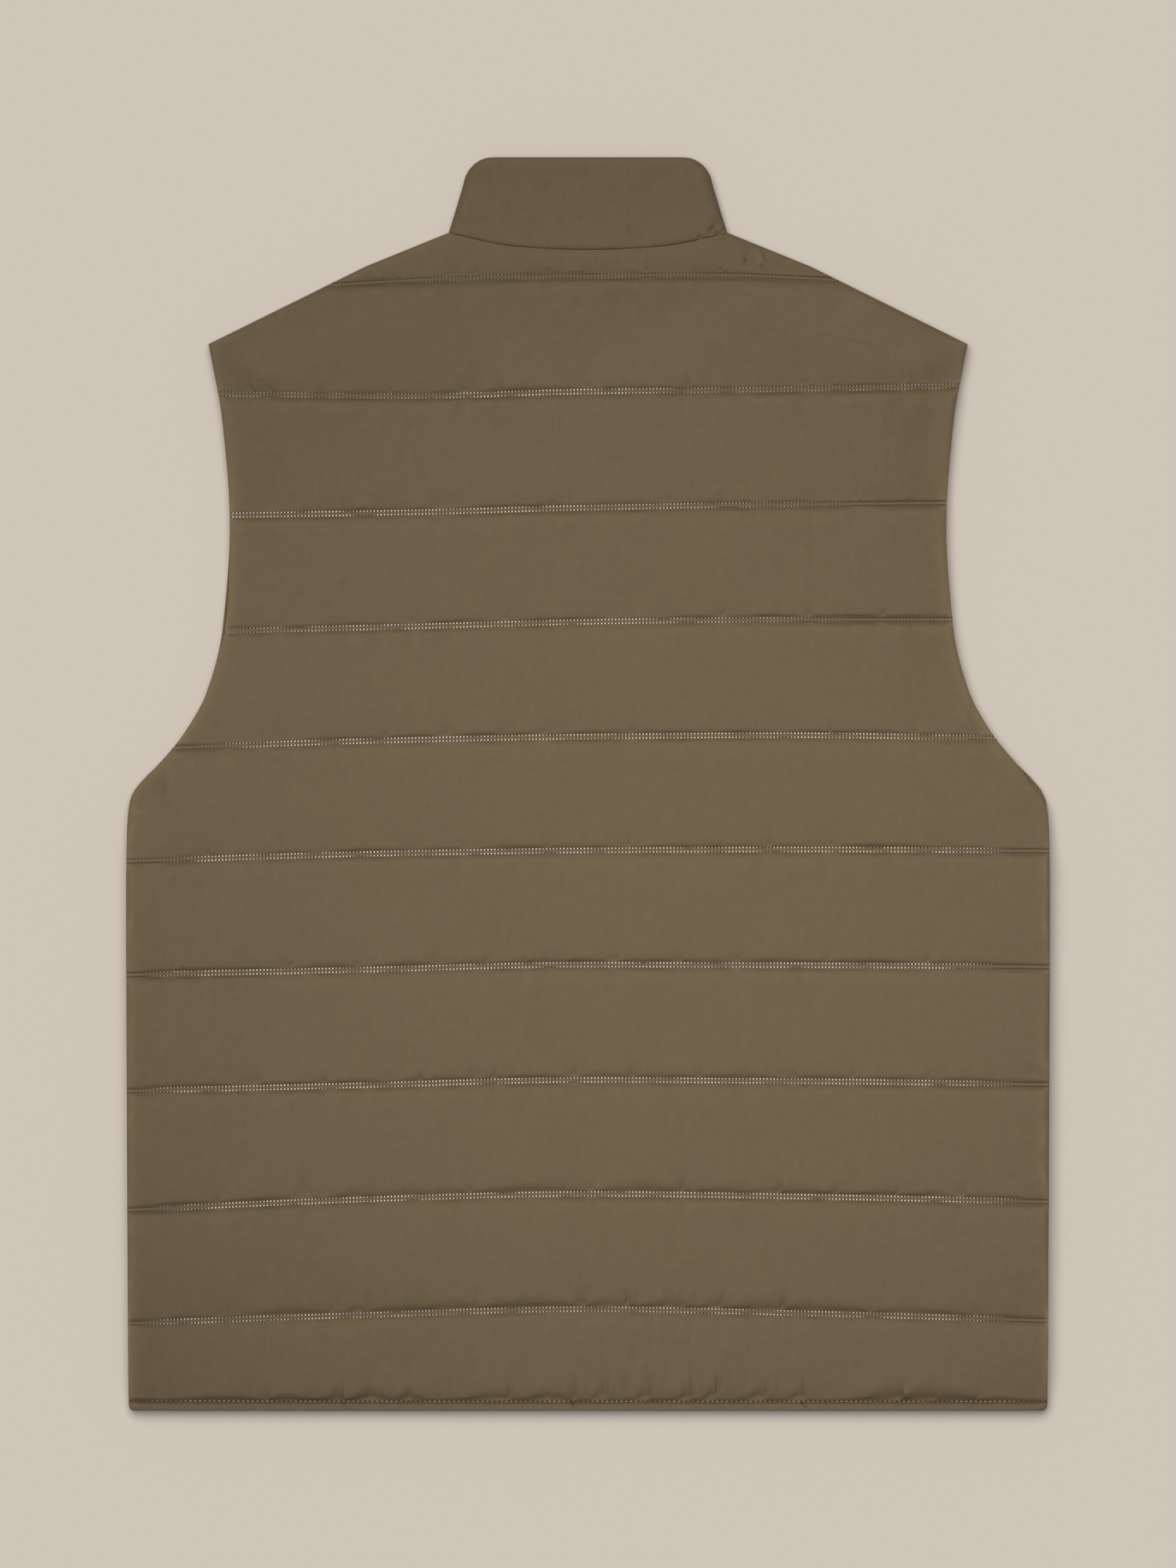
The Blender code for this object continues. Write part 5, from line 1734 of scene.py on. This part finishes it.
halves = zip(collar_half_grids(1), collar_half_grids(-1))
*grids, collar_painted_light = [np.concatenate([right, left[:, -2::-1]], axis=1) for right, left in halves]
collar_columns = list(range(grids[0].shape[1]))
far_away = np.full(grids[0].shape[:2], NO_THREAD)
collar_mesh = padded_wall("collar_cloth", *grids, far_away, collar_painted_light, collar_columns)
collar_cloth = add_piece("collar_cloth", collar_mesh, SHELL_CLOTH)
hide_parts("collar")


# ---- Zip tapes -----------------------------------------------------------------------------------
# Two woven polyester tapes, dyed to match the cloth, run up the fronts' inside beside the teeth.
# They are sewn to the fronts and the collar.

TAPE_BROWN = (0.115, 0.086, 0.050, 1.0)
TAPE_DARK = (0.085, 0.064, 0.038, 1.0)
TAPE_RIB = 0.0006


def tape_finish(name):
    """Herringbone tape: fine ribs across a plain woven band."""
    finish, tree, shader, where = fresh_finish(name)
    ribs = weave(tree, where, TAPE_RIB)
    wear = noise(tree, where, 60.0, 3.0)
    looks = {
        "Base Color": mixed(tree, ribs, TAPE_DARK, TAPE_BROWN),
        "Roughness": sums(tree, "MULTIPLY_ADD", wear, 0.15, 0.75),
        "Normal": bumped(tree, ribs, 0.0001, 0.8),
        "Specular IOR Level": 0.2,
    }
    wire(tree, shader, looks.items())
    return finish


TAPE_FINISH = tape_finish("zip_tape_weave")
for name in ("zip_tape_left", "zip_tape_right"):
    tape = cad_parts[name]
    tape.data.materials.clear()
    tape.data.materials.append(TAPE_FINISH)


# ---- Zip teeth -----------------------------------------------------------------------------------
# The closed chain is two rows of moulded plastic teeth, each clamped on its tape's edge. A tooth has
# a wide foot and a narrow head that fits between two of the other row.

CHAIN_BOTTOM = -3.0  # from the level where the layers meet
CHAIN_TOP = -0.8
CHAIN_HEIGHTS = (13.4, 728.8)
TOOTH_PITCH = 2.6
TOOTH_BEVEL = 0.25
TOOTH_BEVEL_INSET = 0.12
# From a tooth's foot to its head, past the chain's middle, with its half width at each place
TOOTH_OUTLINE = ((-3.0, 0.95), (-1.5, 0.95), (-1.0, 0.62), (0.2, 0.55), (0.75, 0.3))
PLASTIC_BROWN = (0.090, 0.067, 0.040)


def plastic_finish(name):
    """Moulded acetal, dyed in the mass, with a faint satin gloss."""
    finish, tree, shader, where = fresh_finish(name)
    flow = noise(tree, where, 900.0, 3.0)
    looks = {
        "Base Color": shaded(tree, PLASTIC_BROWN, sums(tree, "MULTIPLY_ADD", flow, 0.25, 0.87)),
        "Roughness": sums(tree, "MULTIPLY_ADD", flow, 0.15, 0.35),
    }
    wire(tree, shader, looks.items())
    return finish


def teeth_mesh():
    """Both rows of teeth as one mesh of closed blocks."""
    points, faces = [], []
    edge = list(TOOTH_OUTLINE) + [(x, -half) for x, half in TOOTH_OUTLINE[::-1]]
    size = len(edge)
    levels = (
        (CHAIN_BOTTOM, TOOTH_BEVEL_INSET),
        (CHAIN_BOTTOM + TOOTH_BEVEL, 0.0),
        (CHAIN_TOP - TOOTH_BEVEL, 0.0),
        (CHAIN_TOP, TOOTH_BEVEL_INSET),
    )
    count = math.floor((CHAIN_HEIGHTS[1] - CHAIN_HEIGHTS[0] - 2 * TOOTH_PITCH) / TOOTH_PITCH * 2)
    for number in range(count):
        side = 1 if number % 2 else -1
        height = CHAIN_HEIGHTS[0] + TOOTH_PITCH / 2 + number * TOOTH_PITCH / 2
        level = float(meeting_level(0.0, height))
        first = len(points)
        for z, inset in levels:
            for x, half in edge:
                points.append((-side * x, height + half - inset * np.sign(half), level + z))
        for ring in range(3):
            for corner in range(size):
                after = (corner + 1) % size
                low = first + ring * size
                faces.append((low + corner, low + after, low + size + after, low + size + corner))
        faces.append([first + corner for corner in range(size)][::-1])
        faces.append([first + 3 * size + corner for corner in range(size)])
    mesh = bpy.data.meshes.new("zip_teeth")
    mesh.from_pydata(place(points).tolist(), [], faces)
    face_outwards(mesh)
    mesh.shade_smooth()
    mesh.set_sharp_from_angle(angle=math.radians(30))
    return mesh


zip_teeth = add_piece("zip_teeth", teeth_mesh(), plastic_finish("zip_plastic"))
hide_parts("zip_chain")


# ---- Zip box, slider and pull tab ----------------------------------------------------------------
# The box at the zip's lower end, the slider at its top and the slider's hinged pull tab are cast
# zinc in a dark bronze finish.

BRONZE = (0.105, 0.083, 0.055, 1.0)
BRONZE_WORN = (0.20, 0.155, 0.10, 1.0)


def bronze_finish(name):
    """Plated zinc: dark, a little worn, with a fine cast grain."""
    finish, tree, shader, where = fresh_finish(name)
    grain = noise(tree, where, 700.0, 4.0)
    worn = sums(tree, "MULTIPLY_ADD", noise(tree, where, 220.0, 3.0), 3.0, -1.2, True)
    looks = {
        "Base Color": mixed(tree, worn, BRONZE, BRONZE_WORN),
        "Metallic": 1.0,
        "Roughness": sums(tree, "MULTIPLY_ADD", grain, 0.2, 0.28),
        "Normal": bumped(tree, grain, 0.00005, 0.3),
    }
    wire(tree, shader, looks.items())
    return finish


BRONZE_FINISH = bronze_finish("zip_bronze")
for name in ("zip_box", "zip_slider", "zip_pull"):
    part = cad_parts[name]
    part.data.materials.clear()
    part.data.materials.append(BRONZE_FINISH)


# ---- Floor, light and camera ---------------------------------------------------------------------
# The vest lies on a plain pale floor. One broad soft light comes from the upper left, the room gives
# the rest, and the camera looks straight down through a long lens.

FLOOR_PAINT = (0.624, 0.558, 0.485)
ROOM_LIGHT = 0.15
LAMP_LIGHT = 2.77
LAMP_TILT = math.radians(16.0)
LAMP_SPREAD = math.radians(52.0)
LAMP_FROM = Vector((-0.37, 0.93)).normalized()
FRAME_HEIGHT = 0.9694  # metres from the view's bottom to its top
OUTLINE_LEVEL = 0.010  # at this height above the surface
LENS = 480.0
SENSOR = 36.0

bpy.ops.mesh.primitive_plane_add(size=8.0, location=(0.0, 0.0, -0.0002))
floor = bpy.context.active_object
floor.name = "floor"
paint, tree, shader, where = fresh_finish("floor_paint")
grain = sums(tree, "MULTIPLY_ADD", noise(tree, where, 300.0, 2.0), 0.02, 0.99)
looks = {
    "Base Color": shaded(tree, FLOOR_PAINT, grain),
    "Roughness": 0.9,
    "Specular IOR Level": 0.1,
}
wire(tree, shader, looks.items())
floor.data.materials.append(paint)

world = bpy.data.worlds.new("studio")
bpy.context.scene.world = world
world.use_nodes = True
world.node_tree.nodes["Background"].inputs["Color"].default_value = (1.0, 1.0, 1.0, 1.0)
world.node_tree.nodes["Background"].inputs["Strength"].default_value = ROOM_LIGHT

lamp_data = bpy.data.lights.new("soft_lamp", "SUN")
lamp_data.energy = LAMP_LIGHT
lamp_data.angle = LAMP_SPREAD
lamp = bpy.data.objects.new("soft_lamp", lamp_data)
towards = Vector((*(LAMP_FROM * math.sin(LAMP_TILT)), math.cos(LAMP_TILT)))
lamp.rotation_mode = "QUATERNION"
lamp.rotation_quaternion = towards.to_track_quat("Z", "Y")
bpy.context.scene.collection.objects.link(lamp)

bpy.context.scene.view_settings.view_transform = "Standard"

camera_data = bpy.data.cameras.new("camera")
camera_data.lens = LENS
camera_data.sensor_width = SENSOR
camera = bpy.data.objects.new("camera", camera_data)
camera.location = (0.0, 0.0, OUTLINE_LEVEL + FRAME_HEIGHT * LENS / SENSOR)
bpy.context.scene.collection.objects.link(camera)
bpy.context.scene.camera = camera
